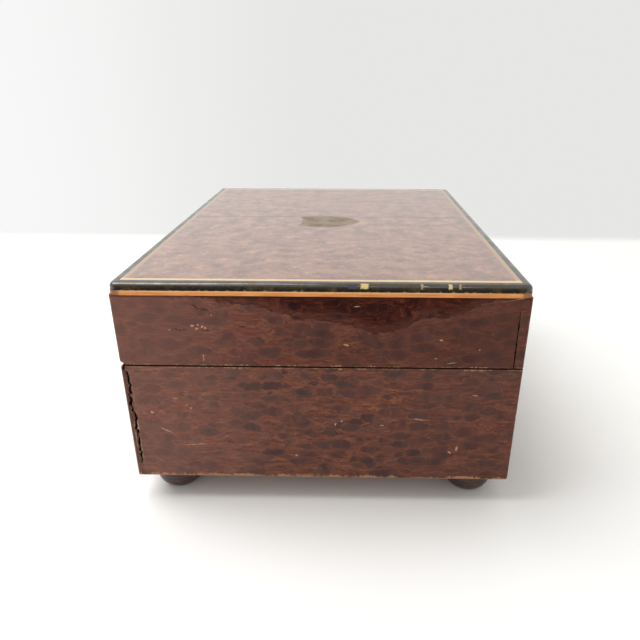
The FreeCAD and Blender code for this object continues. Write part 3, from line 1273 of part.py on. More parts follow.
def stop_lever():
    half = LEVER_WIDTH / 2
    z1 = STOP_Z + LEVER_THICKNESS
    near_y = WORM_Y - STOP_DETENT_WIDTH / 2
    far_y = WORM_Y + STOP_DETENT_WIDTH / 2
    arm = box(STOP_POST_X - half, STOP_POST_X + half, STOP_HANDLE_Y, far_y, STOP_Z, z1)
    detent = box(STOP_TIP_X, STOP_POST_X + half, near_y, far_y, STOP_Z, z1)
    hub = rod_z(LEVER_HUB_RADIUS, STOP_Z, z1, STOP_POST_X, STOP_POST_Y)
    pad = rod_z(LEVER_HUB_RADIUS, STOP_Z, z1, STOP_POST_X, STOP_HANDLE_Y)
    knob = lever_knob(STOP_POST_X, STOP_HANDLE_Y, STOP_Z)
    return [joined([arm, detent, hub, pad, knob]).cut(lever_eye(STOP_POST_X, STOP_POST_Y, STOP_Z))]


def change_lever():
    half = LEVER_WIDTH / 2
    rise = V(0, 0, LEVER_THICKNESS)
    z1 = CHANGE_Z + LEVER_THICKNESS
    tip0, tip1 = CHANGE_TIP_X - CHANGE_TIP_WIDTH / 2, CHANGE_TIP_X + CHANGE_TIP_WIDTH / 2
    elbow_y = CHANGE_POST_Y + 2 * LEVER_WIDTH
    outline = ((tip0, CHANGE_TIP_Y), (tip0, CHANGE_POST_Y + half),
               (CHANGE_POST_X, CHANGE_POST_Y - half), (CHANGE_POST_X, CHANGE_POST_Y + half),
               (tip1 + CHANGE_TIP_WIDTH, elbow_y), (tip1, CHANGE_TIP_Y))
    finger = [V(x, y, CHANGE_Z) for x, y in outline]
    handle = box(CHANGE_POST_X - half, CHANGE_POST_X + half, CHANGE_HANDLE_Y, CHANGE_POST_Y, CHANGE_Z, z1)
    hub = rod_z(LEVER_HUB_RADIUS, CHANGE_Z, z1, CHANGE_POST_X, CHANGE_POST_Y)
    pad = rod_z(LEVER_HUB_RADIUS, CHANGE_Z, z1, CHANGE_POST_X, CHANGE_HANDLE_Y)
    knob = lever_knob(CHANGE_POST_X, CHANGE_HANDLE_Y, CHANGE_Z)
    eye = lever_eye(CHANGE_POST_X, CHANGE_POST_Y, CHANGE_Z)
    return [joined([prism(finger, rise), handle, hub, pad, knob]).cut(eye)]


PARTS = {
    "case_front": case_front(),
    "case_back": case_back(),
    "case_left_end": case_end(-1),
    "case_right_end": case_end(1),
    "case_floor": case_floor(),
    "bun_feet": bun_feet(),
    "hinge_case_leaves": hinge_case_leaves(),
    "hinge_lid_leaves": hinge_lid_leaves(),
    "hinge_pins": hinge_pins(),
    "hinge_case_screws": hinge_screws(RIM_Z, True),
    "hinge_lid_screws": hinge_screws(LID_Z, False),
    "lid_front_rail": lid_front_rail(),
    "lid_back_rail": lid_back_rail(),
    "lid_left_rail": lid_end_rail(-1),
    "lid_right_rail": lid_end_rail(1),
    "lid_top_board": lid_top_board(),
    "lid_edge_moulding": lid_edge_moulding(),
    "lid_side_stringing": lid_side_stringing(),
    "lid_top_stringing": lid_top_stringing(),
    "lid_shield": lid_shield(),
    "tune_card": tune_card(),
    "tune_card_tacks": tune_card_tacks(),
    "bedplate": bedplate(),
    "bed_pillars": bed_pillars(),
    "bed_screws": bed_screws(),
    "bedplate_screws": bedplate_screws(),
    "barrel_drum": barrel_drum(),
    "barrel_cover": barrel_cover(),
    "mainspring": mainspring(),
    "winding_arbor": winding_arbor(),
    "winding_key": winding_key(),
    "barrel_bridge": barrel_bridge(),
    "ratchet_wheel": ratchet_wheel(),
    "ratchet_click": ratchet_click(),
    "click_spring": click_spring(),
    "cylinder_tube": cylinder_tube(),
    "cylinder_caps": cylinder_caps(),
    "cylinder_pins": cylinder_pins(),
    "cylinder_arbor": cylinder_arbor(),
    "drive_pinion": drive_pinion(),
    "great_wheel": great_wheel(),
    "tune_snail": tune_snail(),
    "cylinder_bridges": cylinder_bridges(),
    "comb_base": comb_base(),
    "comb": comb(),
    "comb_leads": comb_leads(),
    "comb_screws": comb_screws(),
    "governor_plates": governor_plates(),
    "first_arbor": first_arbor(),
    "first_wheel": first_wheel(),
    "second_arbor": second_arbor(),
    "worm_wheel": worm_wheel(),
    "endless_screw": endless_screw(),
    "fly": fly(),
    "governor_cock": governor_cock(),
    "endstone": endstone(),
    "endstone_plate": endstone_plate(),
    "pivot_posts": pivot_posts(),
    "stop_lever": stop_lever(),
    "change_lever": change_lever(),
}

os.makedirs("parts", exist_ok=True)
for node, solids in PARTS.items():
    save(node, solids)
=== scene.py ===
import json
import math
import random

import bmesh
import bpy
from mathutils import Matrix, Vector


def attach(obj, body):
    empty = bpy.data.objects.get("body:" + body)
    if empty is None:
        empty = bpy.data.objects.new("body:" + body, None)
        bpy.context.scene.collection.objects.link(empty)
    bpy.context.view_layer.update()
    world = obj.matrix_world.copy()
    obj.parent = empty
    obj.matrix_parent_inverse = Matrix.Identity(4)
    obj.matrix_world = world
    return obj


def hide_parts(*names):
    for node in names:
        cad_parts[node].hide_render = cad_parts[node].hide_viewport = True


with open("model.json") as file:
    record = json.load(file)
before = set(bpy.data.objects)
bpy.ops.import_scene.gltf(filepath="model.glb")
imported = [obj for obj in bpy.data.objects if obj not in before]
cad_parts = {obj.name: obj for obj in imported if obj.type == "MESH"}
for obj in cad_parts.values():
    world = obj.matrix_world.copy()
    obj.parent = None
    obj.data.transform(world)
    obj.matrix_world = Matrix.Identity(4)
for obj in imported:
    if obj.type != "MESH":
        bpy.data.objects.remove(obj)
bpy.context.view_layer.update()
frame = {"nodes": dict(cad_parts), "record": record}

NODES = frame["nodes"]
MM = 0.001
X, Y, Z = range(3)


def span(node, axis):
    """The lowest and highest place of a CAD piece along an axis, in millimetres."""
    places = [vert.co[axis] / MM for vert in NODES[node].data.vertices]
    return round(min(places), 2), round(max(places), 2)


# Places on the object, in millimetres
HALF_L = span("case_back", X)[1]
INSIDE_W, HALF_W = span("case_back", Y)
BOARD = HALF_W - INSIDE_W
BASE_Z, RIM_Z = span("case_back", Z)
LAP_Y = span("case_left_end", Y)[1]
LID_Z = span("lid_back_rail", Z)[0]
STRING_Z, MOULDING_Z = span("lid_side_stringing", Z)
TOP_Z = span("lid_edge_moulding", Z)[1]
CARD_HALF_L, CARD_HALF_W = span("tune_card", X)[1], span("tune_card", Y)[1]
LEAF_JOINT_X = 8.0


def srgb(r, g, b):
    """A tone in Blender's linear numbers, from its screen numbers, 0 to 255."""
    def linear(v):
        v /= 255.0
        return v / 12.92 if v <= 0.04045 else ((v + 0.055) / 1.055) ** 2.4
    return (linear(r), linear(g), linear(b), 1.0)


# Materials

class Shade:
    """One material, with short names for the nodes that it is made of. Lengths are in millimetres."""

    def __init__(self, name):
        self.material = bpy.data.materials.new(name)
        self.material.use_nodes = True
        self.tree = self.material.node_tree
        self.tree.nodes.clear()
        self.out = self.tree.nodes.new("ShaderNodeOutputMaterial")
        self.shader = self.tree.nodes.new("ShaderNodeBsdfPrincipled")
        self.tree.links.new(self.shader.outputs[0], self.out.inputs[0])
        place = self.tree.nodes.new("ShaderNodeTexCoord")
        self.place = self.vector("SCALE", place.outputs["Object"], scale=1000.0)
        self.x, self.y, self.z = self.split(self.place)
        self.nx, self.ny, self.nz = self.split(place.outputs["Normal"])

    def put(self, socket, value):
        if isinstance(value, bpy.types.NodeSocket):
            self.tree.links.new(value, socket)
        else:
            socket.default_value = value

    def set(self, **values):
        for key, value in values.items():
            self.put(self.shader.inputs[key.replace("_", " ")], value)

    def math(self, kind, a, b=0.0, c=0.0, clamp=False):
        node = self.tree.nodes.new("ShaderNodeMath")
        node.operation = kind
        node.use_clamp = clamp
        for socket, value in zip(node.inputs, (a, b, c)):
            self.put(socket, value)
        return node.outputs[0]

    def add(self, a, b):
        return self.math("ADD", a, b)

    def minus(self, a, b):
        return self.math("SUBTRACT", a, b)

    def times(self, a, b):
        return self.math("MULTIPLY", a, b)

    def size(self, a):
        return self.math("ABSOLUTE", a)

    def rest(self, a):
        return self.minus(1.0, a)

    def over(self, a, b):
        return self.math("GREATER_THAN", a, b)

    def under(self, a, b):
        return self.math("LESS_THAN", a, b)

    def near(self, value, place, far, close):
        """1 within close of a place, 0 further off than far."""
        return self.smooth(self.size(self.minus(value, place)), far, close)

    def most(self, *values):
        found = values[0]
        for value in values[1:]:
            found = self.math("MAXIMUM", found, value)
        return found

    def least(self, *values):
        found = values[0]
        for value in values[1:]:
            found = self.math("MINIMUM", found, value)
        return found

    def vector(self, kind, a, b=(0, 0, 0), scale=1.0):
        node = self.tree.nodes.new("ShaderNodeVectorMath")
        node.operation = kind
        self.put(node.inputs[0], a)
        if kind == "SCALE":
            self.put(node.inputs[3], scale)
        else:
            self.put(node.inputs[1], b)
        return node.outputs[0]

    def split(self, a):
        node = self.tree.nodes.new("ShaderNodeSeparateXYZ")
        self.put(node.inputs[0], a)
        return node.outputs

    def join(self, x, y, z):
        node = self.tree.nodes.new("ShaderNodeCombineXYZ")
        for socket, value in zip(node.inputs, (x, y, z)):
            self.put(socket, value)
        return node.outputs[0]

    def smooth(self, value, low, high):
        node = self.tree.nodes.new("ShaderNodeMapRange")
        node.interpolation_type = "SMOOTHSTEP"
        for socket, v in zip(node.inputs, (value, low, high)):
            self.put(socket, v)
        return node.outputs[0]

    def noise(self, where, scale, detail=4.0, roughness=0.55, distortion=0.0, colour=False):
        node = self.tree.nodes.new("ShaderNodeTexNoise")
        self.put(node.inputs["Vector"], where)
        dials = {"Scale": scale, "Detail": detail, "Roughness": roughness, "Distortion": distortion}
        for key, value in dials.items():
            self.put(node.inputs[key], value)
        return node.outputs["Color" if colour else "Fac"]

    def cells(self, where, scale, flat=False):
        node = self.tree.nodes.new("ShaderNodeTexVoronoi")
        node.voronoi_dimensions = "2D" if flat else "3D"
        self.put(node.inputs["Vector"], where)
        self.put(node.inputs["Scale"], scale)
        return node.outputs

    def ramp(self, value, *stops):
        node = self.tree.nodes.new("ShaderNodeValToRGB")
        band = node.color_ramp.elements
        while len(band) < len(stops):
            band.new(1.0)
        for element, (place, colour) in zip(band, stops):
            element.position = place
            element.color = colour
        self.put(node.inputs[0], value)
        return node.outputs[0]

    def blend(self, share, a, b, kind="MIX"):
        node = self.tree.nodes.new("ShaderNodeMix")
        node.data_type = "RGBA"
        node.blend_type = kind
        self.put(node.inputs[0], share)
        self.put(node.inputs[6], a)
        self.put(node.inputs[7], b)
        return node.outputs[2]

    def between(self, share, a, b):
        node = self.tree.nodes.new("ShaderNodeMix")
        self.put(node.inputs[0], share)
        self.put(node.inputs[2], a)
        self.put(node.inputs[3], b)
        return node.outputs[0]

    def join_shaders(self, share, a, b):
        node = self.tree.nodes.new("ShaderNodeMixShader")
        self.put(node.inputs[0], share)
        self.tree.links.new(a.outputs[0], node.inputs[1])
        self.tree.links.new(b.outputs[0], node.inputs[2])
        return node

    def curve(self, value, points):
        """A line through the given points: points are (place, height), both from 0 to 1."""
        node = self.tree.nodes.new("ShaderNodeFloatCurve")
        line = node.mapping.curves[0].points
        while len(line) < len(points):
            line.new(0.5, 0.5)
        for point, place in zip(line, points):
            point.location = place
            point.handle_type = "VECTOR"
        node.mapping.update()
        self.put(node.inputs[1], value)
        return node.outputs[0]

    def bump(self, height, strength, depth, under=None):
        """depth is the height's full range in millimetres."""
        node = self.tree.nodes.new("ShaderNodeBump")
        node.inputs["Strength"].default_value = strength
        node.inputs["Distance"].default_value = depth * MM
        self.put(node.inputs["Height"], height)
        if under is not None:
            self.put(node.inputs["Normal"], under)
        return node.outputs[0]

    def spot(self, u, v, centre, half_sizes, angle, ragged):
        """1 inside a small ragged ellipse on a face, 0 outside it."""
        du = self.minus(u, centre[0])
        dv = self.minus(v, centre[1])
        c, s = math.cos(angle), math.sin(angle)
        along = self.math("MULTIPLY_ADD", du, c / half_sizes[0], self.times(dv, s / half_sizes[0]))
        across = self.math("MULTIPLY_ADD", du, -s / half_sizes[1], self.times(dv, c / half_sizes[1]))
        reach = self.math("MULTIPLY_ADD", along, along, self.times(across, across))
        return self.smooth(self.add(reach, ragged), 1.25, 0.55)

    def spots(self, u, v, marks, ragged):
        """A list of such ellipses: place along and up, half length, half width, slope in degrees."""
        return self.most(*[self.spot(u, v, (y, z), (half_long, half_wide), math.radians(slope), ragged)
                           for y, z, half_long, half_wide, slope in marks])


def plain_grain(s, u, v, light, middle, dark):
    """Straight-grained wood, u along the grain."""
    rings = s.noise(s.join(s.times(u, 0.02), s.times(v, 0.45), 0.0), 1.0, 5.0, 0.6, 0.4)
    pores = s.noise(s.join(s.times(u, 0.25), s.times(v, 5.0), 0.0), 1.0, 3.0)
    tone = s.ramp(rings, (0.3, dark), (0.5, middle), (0.7, light))
    tone = s.blend(s.times(s.smooth(pores, 0.56, 0.75), 0.55), tone, dark)
    return tone, pores


# Chips and scratches of the seen end: place across, height, half length, half width, slope in degrees
END_MARKS = (
    (36.3, 61.5, 0.55, 0.35, -10), (34.7, 61.8, 0.35, 0.25, 0), (33.5, 61.3, 0.6, 0.3, -40),
    (35.1, 60.6, 0.5, 0.35, -20), (32.7, 60.9, 0.4, 0.35, -70), (34.0, 51.3, 0.12, 1.3, 0),
    (30.6, 64.8, 0.25, 0.3, 0), (43.0, 60.2, 0.3, 0.2, 0), (51.5, 32.5, 0.55, 0.28, 35),
    (47.8, 26.1, 2.3, 0.17, 29), (39.4, 21.0, 3.4, 0.11, -6), (43.8, 37.6, 0.75, 0.2, 12),
    (40.5, 35.3, 0.3, 0.25, -40), (39.4, 34.1, 0.35, 0.25, -60), (-4.3, 28.9, 0.3, 0.5, 0),
    (-6.3, 30.1, 0.35, 0.38, 0), (-18.4, 28.7, 0.75, 0.15, 0), (-41.8, 20.5, 0.34, 0.75, 10),
    (-39.7, 19.1, 0.6, 0.32, 35), (-29.6, 31.0, 3.2, 0.12, 4), (-34.6, 57.6, 0.4, 0.25, 20),
    (-45.6, 54.8, 0.35, 0.22, 0), (-33.2, 51.8, 0.3, 0.25, 0), (-10.4, 67.8, 0.9, 0.18, -4),
    (-38.1, 50.4, 1.5, 0.14, -8), (-7.4, 55.9, 0.8, 0.3, 20), (7.9, 17.2, 0.35, 0.3, 0),
    (-45.8, 39.6, 0.9, 0.18, 6),
)
# Fine dark cracks in the seen end of the lid, given in the same way
END_CRACKS = (
    (35.0, 67.3, 1.7, 0.16, 29), (32.2, 66.4, 1.3, 0.14, -4), (39.8, 60.3, 2.2, 0.12, -4),
    (32.4, 59.9, 1.1, 0.11, 6), (22.0, 61.2, 1.2, 0.1, 10), (-24.4, 66.6, 1.4, 0.13, 40),
    (-34.0, 66.2, 1.8, 0.14, 22),
)
# The dark flame in the seen end of the lid: its lower edge, from the rear to the front
FLAME_Y, FLAME_Z = (60.0, -60.0), (56.0, 72.0)
FLAME_EDGE = (
    (52.0, 71.4), (38.0, 70.8), (30.0, 70.1), (27.7, 68.7), (20.4, 68.2), (16.3, 67.4),
    (12.5, 66.1), (9.8, 65.7), (7.8, 64.4), (4.1, 63.7), (-1.6, 63.5), (-7.4, 62.6),
    (-10.8, 61.3), (-15.0, 59.5), (-18.4, 60.0), (-21.7, 60.9), (-25.0, 61.9), (-26.5, 63.7),
    (-29.8, 64.7), (-32.3, 65.1), (-34.8, 64.3), (-37.2, 65.2), (-40.4, 66.1), (-44.0, 68.6),
    (-50.0, 70.6),
)


def face_axes(s):
    """Along and up each face, a number that tells the faces apart, and which faces are ends or level."""
    end = s.over(s.size(s.nx), 0.7)
    flat = s.over(s.size(s.nz), 0.7)
    u = s.between(flat, s.between(end, s.x, s.y), s.x)
    v = s.between(flat, s.z, s.y)
    far_x = s.times(s.over(s.x, 0.0), end)
    far_y = s.times(s.over(s.y, 0.0), s.rest(end))
    far = s.add(s.times(far_x, 1.7), s.times(far_y, 2.9))
    face = s.add(s.times(end, 4.1), s.add(s.times(flat, 9.7), far))
    return u, v, face, end, flat


def centred(s, where, scale, detail):
    return s.vector("SUBTRACT", s.noise(where, scale, detail, 0.6, colour=True), (0.5, 0.5, 0.5))


def shaken(s):
    """Places moved a little to and fro, which makes outlines ragged."""
    return s.split(s.vector("ADD", s.place, s.vector("SCALE", centred(s, s.place, 1.7, 3.0), scale=0.9)))


def burl_figure(s, u, v, face, squash, strength):
    """The burl's eyes and the fibres that flow round them. squash below 1 draws the eyes out along u."""
    start_u = s.math("MULTIPLY_ADD", face, 137.0, s.times(u, squash))
    start = s.join(start_u, s.math("MULTIPLY_ADD", face, 71.0, v), 0.0)
    wobble = centred(s, start, 0.42, 3.0)
    bent = s.vector("ADD", start, s.vector("SCALE", wobble, scale=2.6))
    bent = s.vector("ADD", bent, s.vector("SCALE", centred(s, start, 2.3, 2.0), scale=0.6))
    large = s.cells(bent, 0.29, flat=True)
    small = s.cells(bent, 0.66, flat=True)
    chance = s.split(large["Color"])
    small_chance = s.split(small["Color"])
    reach = s.between(chance[0], 0.12, 0.52)
    large_in = s.minus(large["Distance"], reach)
    small_in = s.minus(small["Distance"], s.times(s.smooth(small_chance[0], 0.35, 1.0), 0.5))
    large_eye = s.times(s.smooth(large_in, 0.17, -0.17), s.between(chance[1], 0.5, 1.0))
    small_eye = s.times(s.smooth(small_in, 0.2, -0.2), s.between(small_chance[1], 0.3, 0.85))
    eye = s.most(large_eye, small_eye)
    rim = s.times(s.near(large_in, 0.05, 0.07, 0.015), s.smooth(chance[2], 0.35, 0.8))
    ring = s.times(s.near(large_in, -0.16, 0.06, 0.015), s.smooth(chance[1], 0.5, 0.9))

    away = s.split(s.vector("SUBTRACT", bent, large["Position"]))
    share = s.math("DIVIDE", reach, s.most(large["Distance"], reach))
    share = s.times(s.times(share, share), s.smooth(large["Distance"], 0.8, 0.35))
    along, up, _ = s.split(bent)
    flow = s.minus(up, s.times(away[1], share))
    streaks = s.noise(s.join(s.times(along, 0.3), s.times(flow, 1.35), 0.0), 1.0, 6.0, 0.66, 0.25)
    fibres = s.noise(s.join(s.times(along, 0.9), s.times(flow, 6.0), 3.0), 1.0, 3.0, 0.6)
    grain = s.noise(s.join(s.times(along, 0.5), s.times(flow, 2.6), 11.0), 1.0, 2.0, 0.55)
    cloud = s.noise(s.join(s.times(along, 0.09), s.times(up, 0.09), 0.0), 1.0, 3.0, 0.5)
    vein = s.noise(s.join(s.times(along, 0.26), s.times(flow, 0.34), 7.0), 1.0, 2.5, 0.55, 0.5)
    vein = s.times(s.near(vein, 0.5, 0.022, 0.004), s.smooth(cloud, 0.42, 0.6))

    tone = s.ramp(streaks, (0.26, srgb(70, 43, 38)), (0.42, srgb(97, 59, 50)), (0.55, srgb(118, 73, 60)),
                  (0.68, srgb(144, 91, 68)), (0.8, srgb(165, 112, 79)))
    tone = s.blend(s.times(s.smooth(cloud, 0.48, 0.72), 0.4), tone, srgb(117, 58, 44))
    tone = s.blend(s.times(s.smooth(cloud, 0.5, 0.28), 0.35), tone, srgb(94, 74, 68))
    tone = s.blend(s.times(s.smooth(fibres, 0.54, 0.72), 0.4), tone, srgb(158, 108, 82))
    tone = s.blend(s.times(s.smooth(fibres, 0.46, 0.3), 0.42), tone, srgb(64, 39, 36))
    tone = s.blend(s.times(s.smooth(grain, 0.46, 0.34), 0.42), tone, srgb(54, 31, 31))
    tone = s.blend(s.times(s.smooth(grain, 0.56, 0.7), 0.34), tone, srgb(152, 96, 80))
    tone = s.blend(s.times(vein, 0.4), tone, srgb(163, 116, 82))
    tone = s.blend(s.times(rim, 0.18), tone, srgb(147, 102, 79))
    inside = s.ramp(streaks, (0.3, srgb(56, 46, 47)), (0.55, srgb(72, 57, 56)), (0.75, srgb(96, 72, 66)))
    inside = s.blend(s.times(ring, 0.4), inside, srgb(103, 77, 68))
    tone = s.blend(s.times(eye, strength), tone, inside)
    return tone, eye, streaks, fibres, wobble


def flakes(s, fine_grit):
    """Small lost chips, scattered over a face."""
    cell = s.cells(s.place, 0.13)
    chance = s.split(cell["Color"])[0]
    ragged = s.times(s.minus(fine_grit, 0.5), 0.05)
    reach = s.times(s.smooth(chance, 0.72, 1.0), 0.07)
    chip = s.smooth(s.minus(s.add(cell["Distance"], ragged), reach), 0.012, -0.012)
    return s.times(chip, s.over(chance, 0.74))


def lid_flame(s, tone, streaks, fibres, wobble):
    """The dark flame in the lid's seen end, with its stepped lower edge."""
    length, rise = FLAME_Y[0] - FLAME_Y[1], FLAME_Z[1] - FLAME_Z[0]
    points = [((FLAME_Y[0] - y) / length, (z - FLAME_Z[0]) / rise) for y, z in FLAME_EDGE]
    along = s.math("DIVIDE", s.minus(FLAME_Y[0], s.y), length, clamp=True)
    edge = s.math("MULTIPLY_ADD", s.curve(along, points), rise, FLAME_Z[0])
    fray = s.minus(s.noise(s.join(0.0, s.times(s.y, 0.5), s.times(s.z, 1.6)), 1.0, 5.0, 0.68), 0.5)
    height = s.add(s.z, s.add(s.times(s.split(wobble)[0], 1.0), s.times(fray, 3.0)))
    above = s.minus(height, edge)
    here = s.times(s.under(s.x, -HALF_L + 1.0), s.over(s.z, LID_Z))
    here = s.times(here, s.smooth(s.y, -54.0, -46.0))
    flame = s.times(s.smooth(above, -0.1, 0.35), here)
    flame = s.times(flame, s.between(s.smooth(above, 0.2, 4.5), 0.55, 1.0))
    line = s.times(s.times(s.smooth(above, -0.35, -0.05), s.smooth(above, 0.5, 0.05)), here)
    line = s.times(line, s.smooth(s.noise(s.join(0.0, s.times(s.y, 0.2), 5.0), 1.0, 2.0), 0.38, 0.55))
    dark = s.ramp(streaks, (0.32, srgb(24, 4, 1)), (0.5, srgb(44, 10, 4)),
                  (0.62, srgb(76, 26, 13)), (0.76, srgb(122, 58, 32)))
    dark = s.blend(s.times(s.smooth(fibres, 0.5, 0.68), 0.45), dark, srgb(120, 58, 36))
    dark = s.blend(s.times(s.smooth(fibres, 0.48, 0.32), 0.5), dark, srgb(14, 2, 1))
    tone = s.blend(s.times(flame, 0.94), tone, dark)
    tone = s.blend(s.times(line, 0.7), tone, srgb(24, 6, 4))
    cracks = s.spots(s.y, height, END_CRACKS, s.times(fray, 0.8))
    return s.blend(s.times(s.times(cracks, here), 0.85), tone, srgb(26, 9, 6))


def burl_skin(s, figure, lost, waves, grain):
    """The veneer's relief. figure: eyes, streaks, fibres. waves and grain: strength and depth."""
    eye, streaks, fibres = figure
    skin = s.add(s.times(fibres, 0.3), s.add(s.times(streaks, 0.4), s.times(eye, -0.25)))
    skin = s.add(skin, lost)
    return s.bump(s.noise(s.place, 0.12, 2.0, 0.5), *waves, s.bump(skin, *grain))


INNER_WOOD = (srgb(150, 98, 66), srgb(128, 78, 50), srgb(92, 52, 34))
VARNISH = {"Coat_Roughness": 0.22, "Coat_IOR": 1.8}


def burl_sides():
    s = Shade("burl_sides")
    u, v, face, end, flat = face_axes(s)
    tone, eye, streaks, fibres, wobble = burl_figure(s, u, v, face, 0.48, 0.9)
    lid = s.over(s.z, LID_Z - 0.3)
    tone = s.blend(s.times(lid, 0.28), tone, srgb(86, 36, 26))
    seen = s.times(end, s.under(s.x, 0.0))
    # Painted light on the seen end: lighter towards the rear corner, darker towards the front corner, as
    # the light falls from the rear side
    tone = s.blend(s.times(s.times(s.smooth(s.y, 0.0, 56.0), seen), 0.3), tone, srgb(150, 112, 102))
    tone = s.blend(s.times(s.times(s.smooth(s.y, 10.0, -56.0), seen), 0.35), tone, srgb(84, 54, 47))
    tone = lid_flame(s, tone, streaks, fibres, wobble)
    # Painted shade: a dark band on the lid's sides just under the side stringing
    shade_under_string = s.times(s.smooth(s.z, STRING_Z - 0.9, STRING_Z - 0.2), s.rest(flat))
    tone = s.blend(s.times(shade_under_string, 0.6), tone, srgb(42, 13, 8))
    strip = s.times(s.smooth(s.y, LAP_Y + 0.2, LAP_Y + 0.9), seen)
    strip = s.times(strip, s.under(s.z, RIM_Z + 0.2))
    tone = s.blend(s.times(strip, 0.45), tone, srgb(72, 54, 42))

    # The walls of the two cracks, behind the face, are painted dark, as painted shade inside the cracks
    deep_x = s.times(s.over(s.x, 0.15 - HALF_L), s.under(s.x, 3.0 - HALF_L))
    deep_y = s.under(s.size(s.minus(s.size(s.y), LAP_Y + 0.5)), 1.9)
    groove = s.times(deep_x, deep_y)
    tone = s.blend(groove, tone, srgb(34, 18, 13))

    # Wear: bare pale wood at the edges, chips and scratches
    grit = s.noise(s.place, 1.1, 4.0, 0.65)
    fine_grit = s.noise(s.place, 5.0, 2.0, 0.6)
    run = s.noise(s.join(s.times(u, 0.14), face, 0.0), 1.0, 3.0, 0.6)
    seam = s.least(s.size(s.minus(RIM_Z, s.z)), s.size(s.minus(s.z, LID_Z)))
    foot_edge = s.minus(s.z, BASE_Z)
    upright = s.between(end, s.minus(HALF_L, s.size(s.x)), s.minus(HALF_W, s.size(s.y)))
    uneven = s.add(run, s.times(s.minus(grit, 0.5), 0.9))
    seam_reach = s.times(s.smooth(uneven, 0.46, 0.74), 0.5)
    foot_reach = s.times(s.smooth(uneven, 0.36, 0.66), 1.1)
    corner_reach = s.times(s.smooth(grit, 0.5, 0.75), 0.6)
    worn = s.times(s.smooth(s.minus(seam, seam_reach), 0.1, -0.1), 0.7)
    worn = s.most(worn, s.smooth(s.minus(foot_edge, foot_reach), 0.15, -0.15))
    worn = s.most(worn, s.smooth(s.minus(upright, corner_reach), 0.15, -0.1))
    worn = s.times(worn, s.rest(flat))
    ragged = s.times(s.minus(fine_grit, 0.5), 3.0)
    _, shaken_y, shaken_z = shaken(s)
    marks = s.times(s.spots(shaken_y, shaken_z, END_MARKS, ragged), s.under(s.x, 0.5 - HALF_L))
    rear_strip = s.smooth(s.y, HALF_W - 3.2, HALF_W - 1.2)
    specks = s.times(s.smooth(fine_grit, 0.6, 0.7), s.times(rear_strip, end))
    bare = s.most(worn, marks, s.times(flakes(s, fine_grit), 0.7), s.times(specks, 0.6))
    bare_tone = s.ramp(fine_grit, (0.3, srgb(140, 94, 68)), (0.6, srgb(214, 176, 138)))
    bare_tone = s.blend(s.times(s.smooth(foot_edge, 2.0, 1.0), 0.55), bare_tone, srgb(142, 104, 76))
    tone = s.blend(s.times(bare, 0.85), tone, bare_tone)
    hair = s.noise(s.join(s.times(u, 0.035), s.times(v, 0.11), face), 1.0, 1.0, 0.5, 1.2)
    scratch = s.times(s.near(hair, 0.52, 0.0016, 0.0004), s.smooth(grit, 0.5, 0.62))
    tone = s.blend(s.times(scratch, 0.45), tone, srgb(168, 118, 88))

    # The inside faces and the rims are bare wood
    inside_x = s.under(s.size(s.x), HALF_L - BOARD + 0.05)
    inside_y = s.under(s.size(s.y), HALF_W - BOARD + 0.05)
    plain = s.most(s.times(inside_x, inside_y), flat)
    rim = s.times(flat, s.near(s.z, LID_Z, 1.6, 1.2))
    inner, _ = plain_grain(s, u, v, *INNER_WOOD)
    tone = s.blend(plain, tone, inner)
    dust = s.times(s.smooth(s.noise(s.place, 0.3, 5.0, 0.7), 0.55, 0.75), 0.25)
    tone = s.blend(s.times(plain, dust), tone, srgb(84, 60, 46))
    # Painted shade on the rims, in the seam between lid and base
    tone = s.blend(s.times(rim, 0.7), tone, srgb(48, 27, 20))

    rough = s.add(0.46, s.times(s.minus(streaks, 0.5), 0.2))
    rough = s.add(rough, s.times(s.most(bare, plain), 0.22))
    normal = burl_skin(s, (eye, streaks, fibres), s.times(bare, -1.4), (0.25, 0.5), (0.3, 0.06))
    s.set(Base_Color=tone, Roughness=rough, Normal=normal, IOR=1.5, Specular_IOR_Level=0.07)
    return s.material


